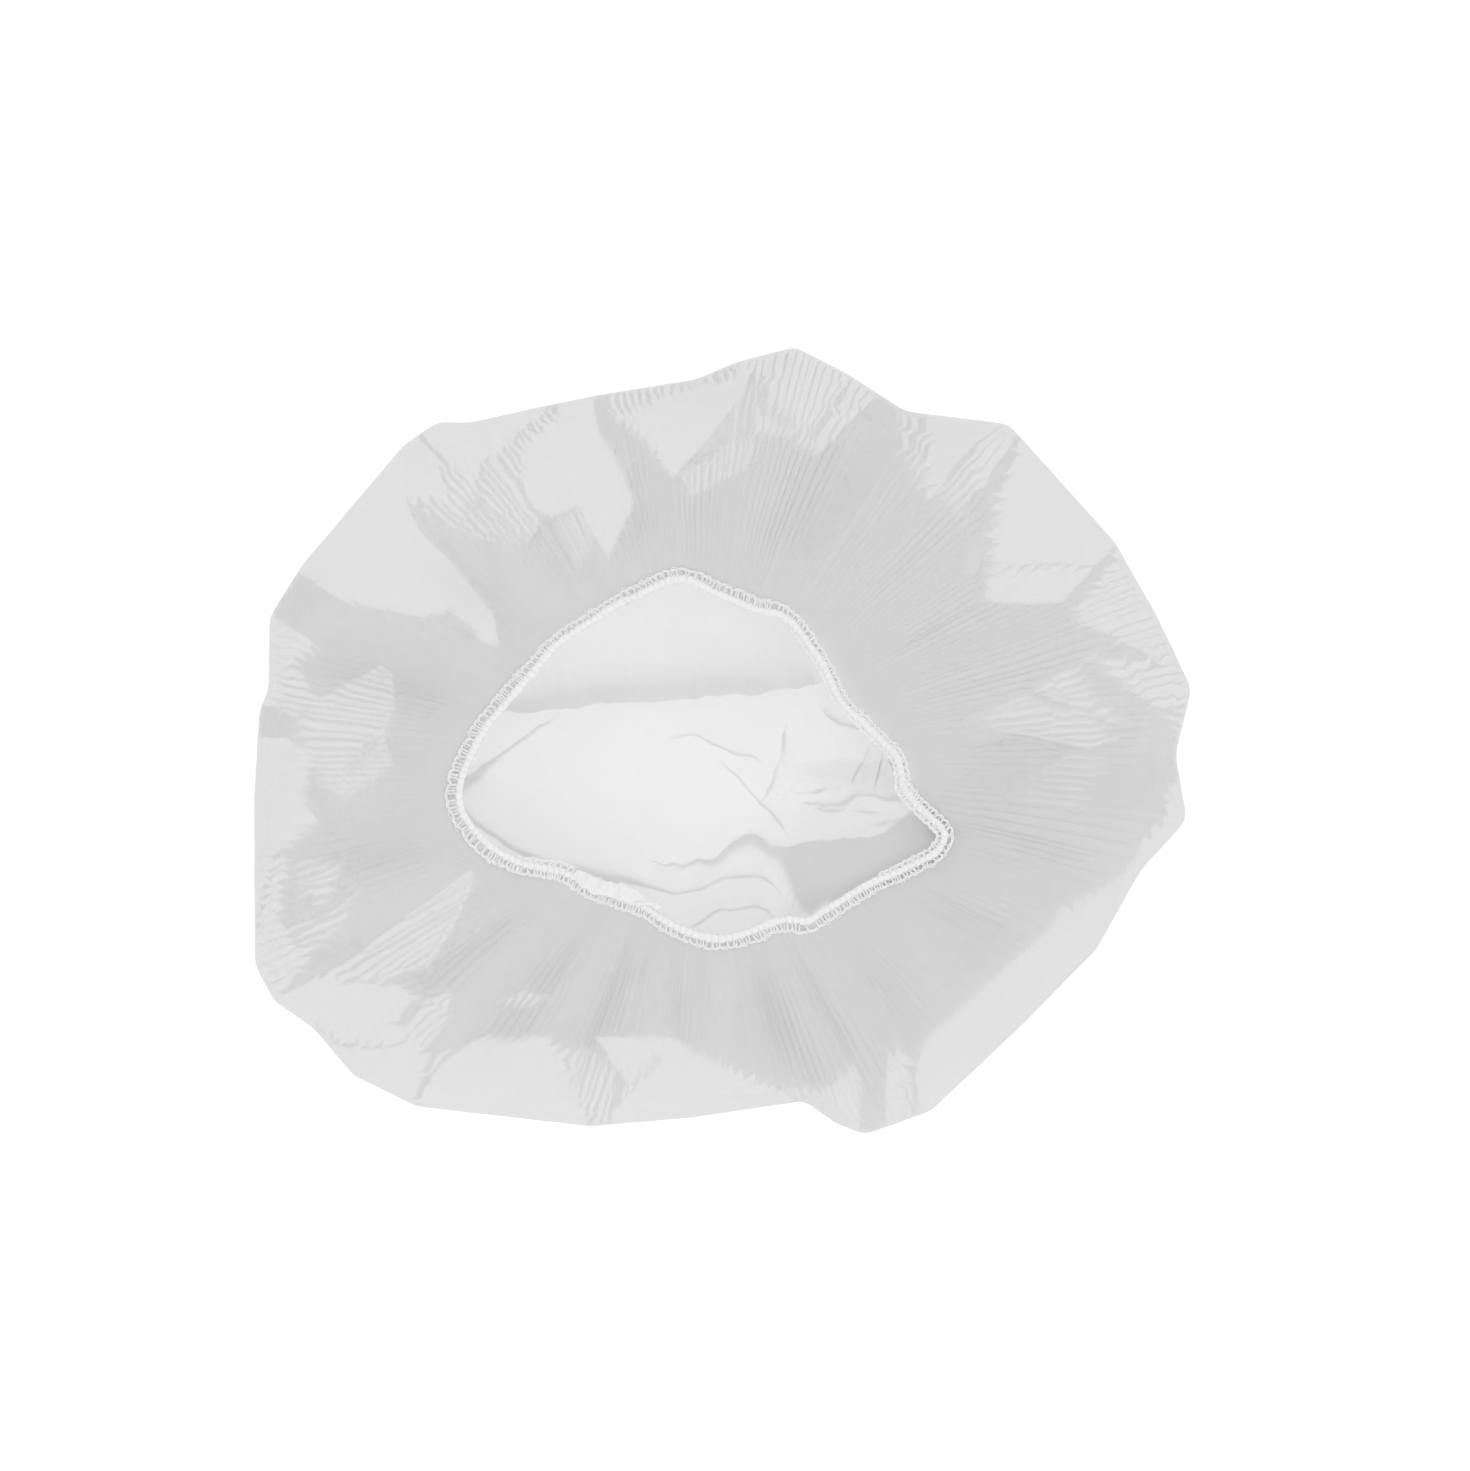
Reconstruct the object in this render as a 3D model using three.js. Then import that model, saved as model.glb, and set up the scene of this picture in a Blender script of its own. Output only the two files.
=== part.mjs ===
// A disposable bouffant nurse cap: one round of thin nonwoven cloth, gathered at its edge onto a loop of
// elastic by an overlock seam. It lies on its crown with the mouth up, as it settles by itself.
// Millimetres, +Z up. The origin is on the surface that it rests on, below the middle of its outline.
import * as THREE from 'three';

// ---- Driving dimensions -----------------------------------------------------------------------------
const WALL = 1.2; // the cloth, thicker than the real one so that it is a solid wall
const GAP = 0.3; // clear space between neighbouring pieces
const BASE_SHARE = 0.86; // share of the way from the crown's middle to the rim that lies flat
const SHOULDER_SHARE = 0.36; // share of the way from the rim to the mouth that curves up to the crest
const MARGIN = 8.5; // level band of cloth that carries the seam, beside the mouth
const GATHER_DEPTH = 1.3; // fine pleats beside the seam, above and below their middle
const CROWN_MIDDLE = new THREE.Vector2(-8, -5.5); // also the middle of the mouth

const ELASTIC_WIDTH = 2.4;
const ELASTIC_HEIGHT = 1.4;
const SEAM_WIDTH = 3.2; // overlock stitches beside the elastic
const SEAM_HEIGHT = 0.9;
const SPLICE_WIDTH = 6.2; // where the ends of the elastic lap
const SPLICE_HEIGHT = 1.5;
const SPLICE_FROM = 221; // degrees around the mouth
const SPLICE_TO = 251;
const SPLICE_OVERHANG = 0.6; // how far its inner side stands out over the mouth
const SPLICE_THIN_END = 0.35; // thickness and width of its ends, as a share of its middle
const SPLICE_LUMP = 0.12; // how much its thickness wavers

// ---- Mesh fineness ----------------------------------------------------------------------------------
const WIDEST_SECTION = 4.2; // degrees between two sections of the cloth
const CROWN_RINGS = 8;
const SIDE_RINGS = 4; // from the flat base up to the rim
const SHOULDER_RINGS = 4; // from the rim up to the crest
const PLEAT_RINGS = 4; // from the crest in to the margin
const MOUTH_STEPS = 84; // stations of the elastic and the seam around the mouth
const SPLICE_STEPS = 10;
const BAND_SIDES = 8; // corners around the elastic's section

// ---- Shape tables -----------------------------------------------------------------------------------
// Rim: corners of the outline, with straight edges between them. `at` is the direction from the origin in
// degrees and `reach` the distance in mm. `lift` is the height of the widest line above the surface there,
// and `crest` the height to which the cloth puffs up inside it.
const RIM = [
  { at: 6.5, reach: 163, lift: 15, crest: 37 },
  { at: 16.5, reach: 156, lift: 13, crest: 38 },
  { at: 27, reach: 152, lift: 14, crest: 39 },
  { at: 48, reach: 147.5, lift: 19, crest: 41 },
  { at: 61, reach: 130.5, lift: 13, crest: 36 },
  { at: 71, reach: 134, lift: 16, crest: 38 },
  { at: 79.5, reach: 138.5, lift: 20, crest: 42 },
  { at: 88, reach: 131, lift: 16, crest: 40 },
  { at: 94, reach: 125.5, lift: 13, crest: 37 },
  { at: 109.5, reach: 127, lift: 16, crest: 39 },
  { at: 117, reach: 130.5, lift: 17, crest: 40 },
  { at: 128.5, reach: 140.5, lift: 17, crest: 41 },
  { at: 131.5, reach: 147.5, lift: 19, crest: 42 },
  { at: 137, reach: 150, lift: 19, crest: 42 },
  { at: 157, reach: 157, lift: 17, crest: 40 },
  { at: 164.5, reach: 162, lift: 14, crest: 35 },
  { at: 173.5, reach: 157.5, lift: 12, crest: 36 },
  { at: 176, reach: 160, lift: 13, crest: 37 },
  { at: 187, reach: 162.5, lift: 16, crest: 39 },
  { at: 205.5, reach: 178.5, lift: 14, crest: 40 },
  { at: 210, reach: 178.5, lift: 12, crest: 39 },
  { at: 215, reach: 172, lift: 11, crest: 38 },
  { at: 222, reach: 171.5, lift: 13, crest: 41 },
  { at: 230, reach: 164, lift: 12, crest: 40 },
  { at: 251, reach: 140, lift: 15, crest: 43 },
  { at: 265, reach: 130, lift: 14, crest: 42 },
  { at: 283, reach: 127, lift: 10, crest: 36 },
  { at: 286.5, reach: 137, lift: 12, crest: 37 },
  { at: 290, reach: 144, lift: 15, crest: 40 },
  { at: 299.5, reach: 146, lift: 17, crest: 42 },
  { at: 316, reach: 142, lift: 15, crest: 41 },
  { at: 331, reach: 147.5, lift: 14, crest: 38 },
  { at: 343, reach: 151, lift: 12, crest: 36 },
  { at: 350.5, reach: 162.5, lift: 15, crest: 37 },
  { at: 358.5, reach: 156.5, lift: 11, crest: 34 },
];

// Mouth: bends of the elastic's inner edge, joined by a smooth curve. Directions are from CROWN_MIDDLE,
// and `lift` is the height of the level margin's upper face.
const MOUTH = [
  { at: 8.5, reach: 60.5, lift: 35 },
  { at: 25, reach: 52, lift: 35.5 },
  { at: 38, reach: 52.5, lift: 36 },
  { at: 56, reach: 56, lift: 36.5 },
  { at: 72, reach: 56.5, lift: 37 },
  { at: 84, reach: 59, lift: 37.5 },
  { at: 94.5, reach: 63.5, lift: 38 },
  { at: 101, reach: 63, lift: 38 },
  { at: 114, reach: 59.5, lift: 37.5 },
  { at: 129, reach: 60.5, lift: 37 },
  { at: 145, reach: 63, lift: 37 },
  { at: 162, reach: 69.5, lift: 37.5 },
  { at: 175, reach: 78, lift: 38 },
  { at: 189, reach: 85, lift: 38.5 },
  { at: 201, reach: 81, lift: 38.5 },
  { at: 209, reach: 75, lift: 38 },
  { at: 218, reach: 64.5, lift: 37.5 },
  { at: 230, reach: 60.5, lift: 37.5 },
  { at: 248.5, reach: 56.5, lift: 38 },
  { at: 264.5, reach: 61, lift: 38.5 },
  { at: 277, reach: 64.5, lift: 38 },
  { at: 299, reach: 64.5, lift: 37 },
  { at: 302, reach: 69.5, lift: 36.5 },
  { at: 308, reach: 70, lift: 36 },
  { at: 325, reach: 75, lift: 35.5 },
  { at: 337, reach: 85.5, lift: 35 },
  { at: 342, reach: 90.5, lift: 34.5 },
  { at: 348.5, reach: 75.5, lift: 34.5 },
  { at: 353.5, reach: 71, lift: 34.5 },
  { at: 358.5, reach: 70, lift: 35 },
];

// Tucks: valleys where the gathered cloth dips between two puffed petals. Each starts as a point at `tip`
// (0 at the rim, 1 at the seam's margin) and is `spread` degrees to each side and `depth` mm deep when full.
const TUCKS = [
  { at: 10, tip: 0.1, spread: 5, depth: 7 },
  { at: 24, tip: 0.06, spread: 5, depth: 6 },
  { at: 41, tip: 0.3, spread: 6, depth: 6 },
  { at: 52, tip: 0.1, spread: 4, depth: 6 },
  { at: 66, tip: 0.02, spread: 8, depth: 11 },
  { at: 88, tip: 0.25, spread: 6, depth: 6 },
  { at: 103, tip: 0.3, spread: 6, depth: 8 },
  { at: 123, tip: 0.2, spread: 5, depth: 6 },
  { at: 143, tip: 0.16, spread: 8, depth: 11 },
  { at: 164, tip: 0.04, spread: 9, depth: 11 },
  { at: 178, tip: 0.05, spread: 3, depth: 4 },
  { at: 193, tip: 0.2, spread: 7, depth: 8 },
  { at: 208, tip: 0.1, spread: 4, depth: 7 },
  { at: 217, tip: 0.25, spread: 5, depth: 7 },
  { at: 230, tip: 0.08, spread: 6, depth: 8 },
  { at: 245, tip: 0.22, spread: 5, depth: 7 },
  { at: 262, tip: 0.3, spread: 5, depth: 4 },
  { at: 280, tip: 0.04, spread: 8, depth: 10 },
  { at: 293, tip: 0.01, spread: 3, depth: 7 },
  { at: 304, tip: 0.14, spread: 5, depth: 7 },
  { at: 324, tip: 0.2, spread: 8, depth: 8 },
  { at: 340, tip: 0.16, spread: 6, depth: 7 },
  { at: 357, tip: 0.02, spread: 8, depth: 11 },
];

// Crown folds: soft ridges of spare cloth that lie across the resting face, from (x0, y0) to (x1, y1).
const CROWN_FOLDS = [
  { x0: -80, y0: 14, x1: 46, y1: 24, width: 15, height: 5 },
  { x0: -14, y0: -40, x1: 70, y1: -35, width: 14, height: 5 },
  { x0: -92, y0: -26, x1: -56, y1: 4, width: 11, height: 3 },
];

// ---- Reading the tables -----------------------------------------------------------------------------
const FULL_TURN = 360;
const { degToRad, lerp, smoothstep } = THREE.MathUtils;

// Degrees to go counter-clockwise from one direction to another.
function turnFrom(start, end) {
  return ((end - start) % FULL_TURN + FULL_TURN) % FULL_TURN;
}

// Smallest angle between two directions.
function apart(a, b) {
  const turn = turnFrom(a, b);
  return Math.min(turn, FULL_TURN - turn);
}

// The four rows around a direction: one before, the pair that encloses it, and one after.
function rowsAround(rows, at) {
  const count = rows.length;
  const turns = rows.map((row) => turnFrom(row.at, at));
  const i = turns.indexOf(Math.min(...turns));
  return [rows[(i + count - 1) % count], rows[i], rows[(i + 1) % count], rows[(i + 2) % count]];
}

function pointAt(middle, at, reach) {
  const angle = degToRad(at);
  return new THREE.Vector2(middle.x + reach * Math.cos(angle), middle.y + reach * Math.sin(angle));
}

// The rim is straight between its corners, so its reach is that of a line in polar form.
function rimPoint(at) {
  const [, a, b] = rowsAround(RIM, at);
  const whole = turnFrom(a.at, b.at);
  const part = turnFrom(a.at, at);
  const before = a.reach * Math.sin(degToRad(part));
  const after = b.reach * Math.sin(degToRad(whole - part));
  const reach = (a.reach * b.reach * Math.sin(degToRad(whole))) / (before + after);
  const lift = lerp(a.lift, b.lift, part / whole);
  const crest = lerp(a.crest, b.crest, part / whole);
  return { plan: pointAt(new THREE.Vector2(0, 0), at, reach), lift, crest };
}

// A smooth closed curve through the rows of a table, for one column.
function smoothColumn(rows, column, at) {
  const [before, a, b, after] = rowsAround(rows, at);
  const whole = turnFrom(a.at, b.at);
  const u = turnFrom(a.at, at) / whole;
  const slopeA = ((b[column] - before[column]) / turnFrom(before.at, b.at)) * whole;
  const slopeB = ((after[column] - a[column]) / turnFrom(a.at, after.at)) * whole;
  const bend = slopeA * u * (1 - u) ** 2 - slopeB * u ** 2 * (1 - u);
  return lerp(a[column], b[column], u * u * (3 - 2 * u)) + bend;
}

function mouthPoint(at) {
  const plan = pointAt(CROWN_MIDDLE, at, smoothColumn(MOUTH, 'reach', at));
  return { plan, lift: smoothColumn(MOUTH, 'lift', at) };
}

// Direction in plan that points away from the mouth, square to its edge.
function mouthOutward(at) {
  const along = mouthPoint(at + 1).plan.sub(mouthPoint(at - 1).plan).normalize();
  return new THREE.Vector2(along.y, -along.x);
}

// ---- Folds of the cloth -----------------------------------------------------------------------------
const TUCK_OPENING = 0.3; // share of the way from rim to mouth over which a tuck opens to its full width
const TUCK_POINT = 0.3; // share of its full width that a tuck has at its tip
const TUCK_CLOSING = 0.6; // share of the way from which a tuck fades into the fine pleats
const PLEATS_START = 0.35; // shares of the way at which the fine pleats start, are full, and flatten again
const PLEATS_FULL = 0.75;
const PLEATS_END = 0.93;

function tuckDepth(at, inward) {
  let depth = 0;
  for (const tuck of TUCKS) {
    const opened = smoothstep(inward, tuck.tip, tuck.tip + TUCK_OPENING);
    const width = tuck.spread * Math.max(opened, TUCK_POINT);
    const fromMiddle = apart(at, tuck.at) / width;
    const fade = 1 - smoothstep(inward, TUCK_CLOSING, 1);
    depth = Math.max(depth, tuck.depth * opened * fade * Math.max(0, 1 - fromMiddle));
  }
  return depth;
}

function gatherLift(section, inward) {
  const side = section % 2 === 0 ? 1 : -1;
  const full = smoothstep(inward, PLEATS_START, PLEATS_FULL) * (1 - smoothstep(inward, PLEATS_END, 1));
  return side * GATHER_DEPTH * full;
}

function crownLift(plan) {
  let lift = 0;
  for (const fold of CROWN_FOLDS) {
    const start = new THREE.Vector2(fold.x0, fold.y0);
    const along = new THREE.Vector2(fold.x1, fold.y1).sub(start);
    const length = along.length();
    along.normalize();
    const toPoint = plan.clone().sub(start);
    const passed = toPoint.dot(along);
    const offset = Math.abs(toPoint.cross(along));
    const across = 1 - smoothstep(offset, 0, fold.width);
    const fromStart = smoothstep(passed, -fold.width, fold.width);
    const fromEnd = smoothstep(length - passed, -fold.width, fold.width);
    lift = Math.max(lift, fold.height * across * fromStart * fromEnd);
  }
  return lift;
}

// ---- Meshes -----------------------------------------------------------------------------------------
function meshFrom(name, positions, triangles, material) {
  const geometry = new THREE.BufferGeometry();
  geometry.setAttribute('position', new THREE.Float32BufferAttribute(positions, 3));
  geometry.setIndex(triangles);
  geometry.computeVertexNormals();
  const mesh = new THREE.Mesh(geometry, material);
  mesh.name = name;
  return mesh;
}

// Directions of the cloth's sections: every rim corner and tuck, and even steps between them.
function sectionDirections() {
  const fixed = RIM.map((row) => row.at);
  for (const tuck of TUCKS) {
    if (fixed.every((at) => apart(at, tuck.at) > WIDEST_SECTION / 3)) fixed.push(tuck.at);
  }
  fixed.sort((a, b) => a - b);
  const directions = [];
  fixed.forEach((at, i) => {
    const span = turnFrom(at, fixed[(i + 1) % fixed.length]);
    const steps = Math.ceil(span / WIDEST_SECTION);
    for (let step = 0; step < steps; step += 1) directions.push(at + (span * step) / steps);
  });
  if (directions.length % 2 === 1) directions.push((directions.at(-1) + fixed[0] + FULL_TURN) / 2);
  return directions;
}

// One section of the cloth, from beside the crown's middle out to the rim and in to the mouth. Each station
// has its place in plan, its height, and the direction into the wall as an outward and an upward share.
function clothSection(at, section) {
  const rim = rimPoint(at);
  const mouth = mouthPoint(at);
  const outward = rim.plan.clone().sub(CROWN_MIDDLE).normalize();
  const stations = [];
  const add = (plan, height, wallOut, wallUp) => {
    stations.push({ plan, height, wall: outward.clone().multiplyScalar(wallOut), wallUp });
  };
  for (let ring = 1; ring <= CROWN_RINGS; ring += 1) {
    const plan = CROWN_MIDDLE.clone().lerp(rim.plan, (BASE_SHARE * ring) / CROWN_RINGS);
    add(plan, crownLift(plan), 0, 1);
  }
  for (let ring = 1; ring <= SIDE_RINGS; ring += 1) {
    const turn = degToRad((90 * ring) / SIDE_RINGS);
    const share = lerp(BASE_SHARE, 1, Math.sin(turn));
    const plan = CROWN_MIDDLE.clone().lerp(rim.plan, share);
    add(plan, rim.lift * (1 - Math.cos(turn)), -Math.sin(turn), Math.cos(turn));
  }
  const acrossMargin = mouthOutward(at).add(outward).normalize();
  const marginStart = mouth.plan.clone().addScaledVector(acrossMargin, MARGIN);
  for (let ring = 1; ring <= SHOULDER_RINGS; ring += 1) {
    const turn = degToRad((90 * ring) / SHOULDER_RINGS);
    const inward = SHOULDER_SHARE * (1 - Math.cos(turn));
    const dip = tuckDepth(at, inward);
    const plan = rim.plan.clone().lerp(marginStart, inward);
    plan.addScaledVector(outward, (-dip * Math.cos(turn)) / 2);
    const height = lerp(rim.lift, rim.crest, Math.sin(turn)) - dip * Math.sin(turn);
    add(plan, height, -Math.cos(turn), -Math.sin(turn));
  }
  for (let ring = 1; ring <= PLEAT_RINGS; ring += 1) {
    const inward = lerp(SHOULDER_SHARE, 1, ring / PLEAT_RINGS);
    const level = lerp(rim.crest, mouth.lift, smoothstep(inward, SHOULDER_SHARE, 1));
    const height = level - tuckDepth(at, inward) + gatherLift(section, inward);
    add(rim.plan.clone().lerp(marginStart, inward), height, 0, -1);
  }
  add(mouth.plan, mouth.lift, 0, -1);
  return stations;
}

// The cap's cloth: one hollow wall, closed at the crown and open at the mouth.
function capCloth() {
  const sections = sectionDirections().map(clothSection);
  const rings = sections[0].length;
  const count = sections.length;
  const positions = [];
  for (const side of [0, WALL]) {
    positions.push(CROWN_MIDDLE.x, CROWN_MIDDLE.y, side);
    for (let ring = 0; ring < rings; ring += 1) {
      for (const stations of sections) {
        const { plan, height, wall, wallUp } = stations[ring];
        positions.push(plan.x + wall.x * side, plan.y + wall.y * side, height + wallUp * side);
      }
    }
  }
  const lip = rings - 1;
  const sideSize = 1 + rings * count;
  const vertex = (inner, ring, i) => inner * sideSize + 1 + ring * count + (i % count);
  const triangles = [];
  const quad = (a, b, c, d) => triangles.push(a, b, c, a, c, d);
  for (let i = 0; i < count; i += 1) {
    triangles.push(0, vertex(0, 0, i + 1), vertex(0, 0, i));
    triangles.push(sideSize, vertex(1, 0, i), vertex(1, 0, i + 1));
    for (let ring = 0; ring < lip; ring += 1) {
      quad(vertex(0, ring, i), vertex(0, ring, i + 1), vertex(0, ring + 1, i + 1), vertex(0, ring + 1, i));
      quad(vertex(1, ring, i + 1), vertex(1, ring, i), vertex(1, ring + 1, i), vertex(1, ring + 1, i + 1));
    }
    quad(vertex(0, lip, i), vertex(0, lip, i + 1), vertex(1, lip, i + 1), vertex(1, lip, i));
  }
  return meshFrom('cap_cloth', positions, triangles, nonwoven);
}

// A stretch of the mouth's line. Each station has its place, its height and its outward direction in plan.
function mouthLine(from, turn, steps, closed) {
  const stations = [];
  for (let step = 0; step < steps + (closed ? 0 : 1); step += 1) {
    const at = from + (turn * step) / steps;
    stations.push({ ...mouthPoint(at), outward: mouthOutward(at) });
  }
  return stations;
}

// Sweeps a convex profile along such a line. `profileAt` gives its points, counter-clockwise when seen along
// the line: `out` from the mouth's edge and `up` from the margin's upper face.
function sweep(name, line, profileAt, closed, material) {
  const profiles = line.map((station, i) => profileAt(i / (line.length - 1)));
  const sides = profiles[0].length;
  const positions = [];
  line.forEach(({ plan, lift, outward }, i) => {
    for (const { out, up } of profiles[i]) {
      positions.push(plan.x + outward.x * out, plan.y + outward.y * out, lift + up);
    }
  });
  const triangles = [];
  const spans = closed ? line.length : line.length - 1;
  for (let i = 0; i < spans; i += 1) {
    const here = i * sides;
    const next = ((i + 1) % line.length) * sides;
    for (let j = 0; j < sides; j += 1) {
      const k = (j + 1) % sides;
      triangles.push(here + j, next + k, here + k, here + j, next + j, next + k);
    }
  }
  if (!closed) {
    const last = (line.length - 1) * sides;
    for (let j = 1; j < sides - 1; j += 1) {
      triangles.push(0, j, j + 1);
      triangles.push(last, last + j + 1, last + j);
    }
  }
  return meshFrom(name, positions, triangles, material);
}

// A profile with `sides` corners on an ellipse, its lowest side level, standing at height `foot`.
function ovalProfile(middle, width, height, foot, sides) {
  const points = [];
  const half = 180 / sides;
  for (let i = 0; i < sides; i += 1) {
    const angle = degToRad(half + i * 2 * half);
    const out = middle + ((width / 2) * Math.cos(angle)) / Math.cos(degToRad(half));
    const up = foot + (height / 2) * (1 + Math.sin(angle) / Math.cos(degToRad(half)));
    points.push({ out, up });
  }
  return points;
}

function elasticBand() {
  const middle = ELASTIC_WIDTH / 2;
  const profile = ovalProfile(middle, ELASTIC_WIDTH, ELASTIC_HEIGHT, GAP, BAND_SIDES);
  return sweep('elastic_band', mouthLine(0, FULL_TURN, MOUTH_STEPS, true), () => profile, true, elastic);
}

function overlockSeam() {
  const inner = ELASTIC_WIDTH + GAP;
  const outer = inner + SEAM_WIDTH;
  const profile = [
    { out: outer, up: GAP },
    { out: outer - SEAM_HEIGHT / 2, up: GAP + SEAM_HEIGHT },
    { out: inner, up: GAP + SEAM_HEIGHT },
    { out: inner, up: GAP },
  ];
  return sweep('overlock_seam', mouthLine(0, FULL_TURN, MOUTH_STEPS, true), () => profile, true, thread);
}

// The lapped ends of the elastic: a low lumpy pad on top of the band and the seam, thin at both ends.
function elasticSplice() {
  const foot = 2 * GAP + ELASTIC_HEIGHT;
  const profileAt = (share) => {
    const fullness = lerp(SPLICE_THIN_END, 1, Math.sqrt(Math.sin(Math.PI * share)));
    const lump = 1 + SPLICE_LUMP * Math.sin(4 * Math.PI * share);
    const height = SPLICE_HEIGHT * fullness * lump;
    return ovalProfile(SPLICE_WIDTH / 2 - SPLICE_OVERHANG, SPLICE_WIDTH * fullness, height, foot, BAND_SIDES);
  };
  const line = mouthLine(SPLICE_FROM, SPLICE_TO - SPLICE_FROM, SPLICE_STEPS, false);
  return sweep('elastic_splice', line, profileAt, false, elastic);
}

// ---- Materials and assembly -------------------------------------------------------------------------
const nonwoven = new THREE.MeshStandardMaterial({ color: 0xe8e8e8, roughness: 0.85, metalness: 0 });
const elastic = new THREE.MeshStandardMaterial({ color: 0xf6f6f6, roughness: 0.7, metalness: 0 });
const thread = new THREE.MeshStandardMaterial({ color: 0xf2f2f2, roughness: 0.6, metalness: 0 });

const cap = new THREE.Group();
cap.add(capCloth(), elasticBand(), overlockSeam(), elasticSplice());
const outline = new THREE.Box3().setFromObject(cap);
cap.position.set(-(outline.min.x + outline.max.x) / 2, -(outline.min.y + outline.max.y) / 2, 0);

export default cap;
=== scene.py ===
# %% [markdown]
# # A gathered nonwoven cap, mouth up
#
# A bouffant cap is one round of thin nonwoven cloth. A machine gathers its edge onto a loop of elastic with
# overlock stitches. Off the head it slumps on its crown: the spare cloth puffs up into a ring round the small
# mouth. Where the ring's cloth lies in pleats it is three layers thick and looks grey, and where it is
# smooth it is one layer thick and looks clear.
#
# The solids of the cap are a fixed frame, and this file builds the looks around them. Most sizes below are
# measured on that frame or are small named dimensions of cloth, thread or elastic. Where the petals, creases
# and folds lie can't be worked out from the solids, so charts in millimetres say it.

# %% Load the frame
import math

import bpy
import numpy as np
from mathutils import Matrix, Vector
from mathutils.bvhtree import BVHTree
from mathutils.geometry import delaunay_2d_cdt


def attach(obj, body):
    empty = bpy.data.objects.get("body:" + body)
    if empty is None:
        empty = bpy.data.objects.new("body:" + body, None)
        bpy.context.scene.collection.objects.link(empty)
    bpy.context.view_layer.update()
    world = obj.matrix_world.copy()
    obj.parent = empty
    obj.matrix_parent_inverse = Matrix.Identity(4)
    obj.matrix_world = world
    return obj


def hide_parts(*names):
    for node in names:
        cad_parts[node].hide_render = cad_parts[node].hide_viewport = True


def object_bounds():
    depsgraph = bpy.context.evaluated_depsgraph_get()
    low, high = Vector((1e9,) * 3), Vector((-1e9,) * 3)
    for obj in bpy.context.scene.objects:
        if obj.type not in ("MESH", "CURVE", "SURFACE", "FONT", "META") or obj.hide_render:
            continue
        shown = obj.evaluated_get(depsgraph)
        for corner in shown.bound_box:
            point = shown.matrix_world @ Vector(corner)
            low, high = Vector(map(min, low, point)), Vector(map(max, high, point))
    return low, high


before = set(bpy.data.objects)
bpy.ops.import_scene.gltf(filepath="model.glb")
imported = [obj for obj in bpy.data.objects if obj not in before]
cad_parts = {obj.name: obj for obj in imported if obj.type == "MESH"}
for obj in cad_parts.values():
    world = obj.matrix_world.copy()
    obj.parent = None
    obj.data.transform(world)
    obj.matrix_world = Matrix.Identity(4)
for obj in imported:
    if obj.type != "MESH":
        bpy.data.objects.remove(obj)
cad_low, cad_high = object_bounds()

MM = 0.001  # all dimensions below are in millimetres, and Blender works in metres
BODY = "root"
TURN = 2 * math.pi
size = (cad_high - cad_low) / MM
print(f"The cap's solids are {size.x:.0f} x {size.y:.0f} x {size.z:.0f} mm")

# %% [markdown]
# ## Camera, floor and light
#
# The camera looks straight down from above. A long lens keeps the raised mouth in proportion to the rim.
# The floor is a plain sheet that glows like a light table until it is just white, so that the cap is read by
# how much light its layers hold back. It could be lit from the sky alone, but then the folds inside the
# cap get no light from below and go black. Glow and sky are both flat, so one broad soft lamp at the lower
# right adds a little form.

# %% Camera
LENS = 300.0
SENSOR = 36.0
VIEW_WIDTH = 507.0  # what the view takes in at the rim's height
RIM_HEIGHT = 15.0
VIEW_MIDDLE = (4.1, 1.9)  # the cap lies a little to the left of the view's middle


def make_camera():
    data = bpy.data.cameras.new("camera")
    data.lens = LENS
    data.sensor_width = SENSOR
    camera = bpy.data.objects.new("camera", data)
    distance = VIEW_WIDTH * LENS / SENSOR + RIM_HEIGHT
    camera.location = Vector((VIEW_MIDDLE[0], VIEW_MIDDLE[1], distance)) * MM
    bpy.context.collection.objects.link(camera)
    bpy.context.scene.camera = camera
    return distance


print(f"Camera {make_camera() / 1000:.2f} m above the surface")

# %% Floor
FLOOR_HALF = 3000.0
FLOOR_DROP = 0.05  # below the cloth, so that they never share a plane
FLOOR_COLOUR = (0.42, 0.42, 0.42, 1.0)


def make_floor():
    mesh = bpy.data.meshes.new("floor")
    half = FLOOR_HALF * MM
    corners = [(-half, -half), (half, -half), (half, half), (-half, half)]
    mesh.from_pydata([(x, y, -FLOOR_DROP * MM) for x, y in corners], [], [(0, 1, 2, 3)])
    floor = bpy.data.objects.new("floor", mesh)
    bpy.context.collection.objects.link(floor)
    return floor


floor = make_floor()

# %% Light
SKY_STRENGTH = 0.93
LAMP_SIZE = 1500.0
LAMP_PLACE = (1500.0, -2000.0, 2600.0)
LAMP_POWER = 10.0
FLOOR_GLOW = 0.68


def make_light():
    world = bpy.data.worlds.new("sky")
    world.use_nodes = True
    world.node_tree.nodes["Background"].inputs["Color"].default_value = (1.0, 1.0, 1.0, 1.0)
    world.node_tree.nodes["Background"].inputs["Strength"].default_value = SKY_STRENGTH
    bpy.context.scene.world = world
    data = bpy.data.lights.new("lamp", "AREA")
    data.size = LAMP_SIZE * MM
    data.energy = LAMP_POWER
    lamp = bpy.data.objects.new("lamp", data)
    lamp.location = Vector(LAMP_PLACE) * MM
    lamp.rotation_euler = lamp.location.to_track_quat("Z", "Y").to_euler()
    bpy.context.collection.objects.link(lamp)


make_light()
scene = bpy.context.scene
scene.view_settings.view_transform = "Standard"
scene.cycles.diffuse_bounces = 8  # light crosses four or more layers of cloth
scene.cycles.transmission_bounces = 8
scene.cycles.transparent_max_bounces = 16

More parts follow.
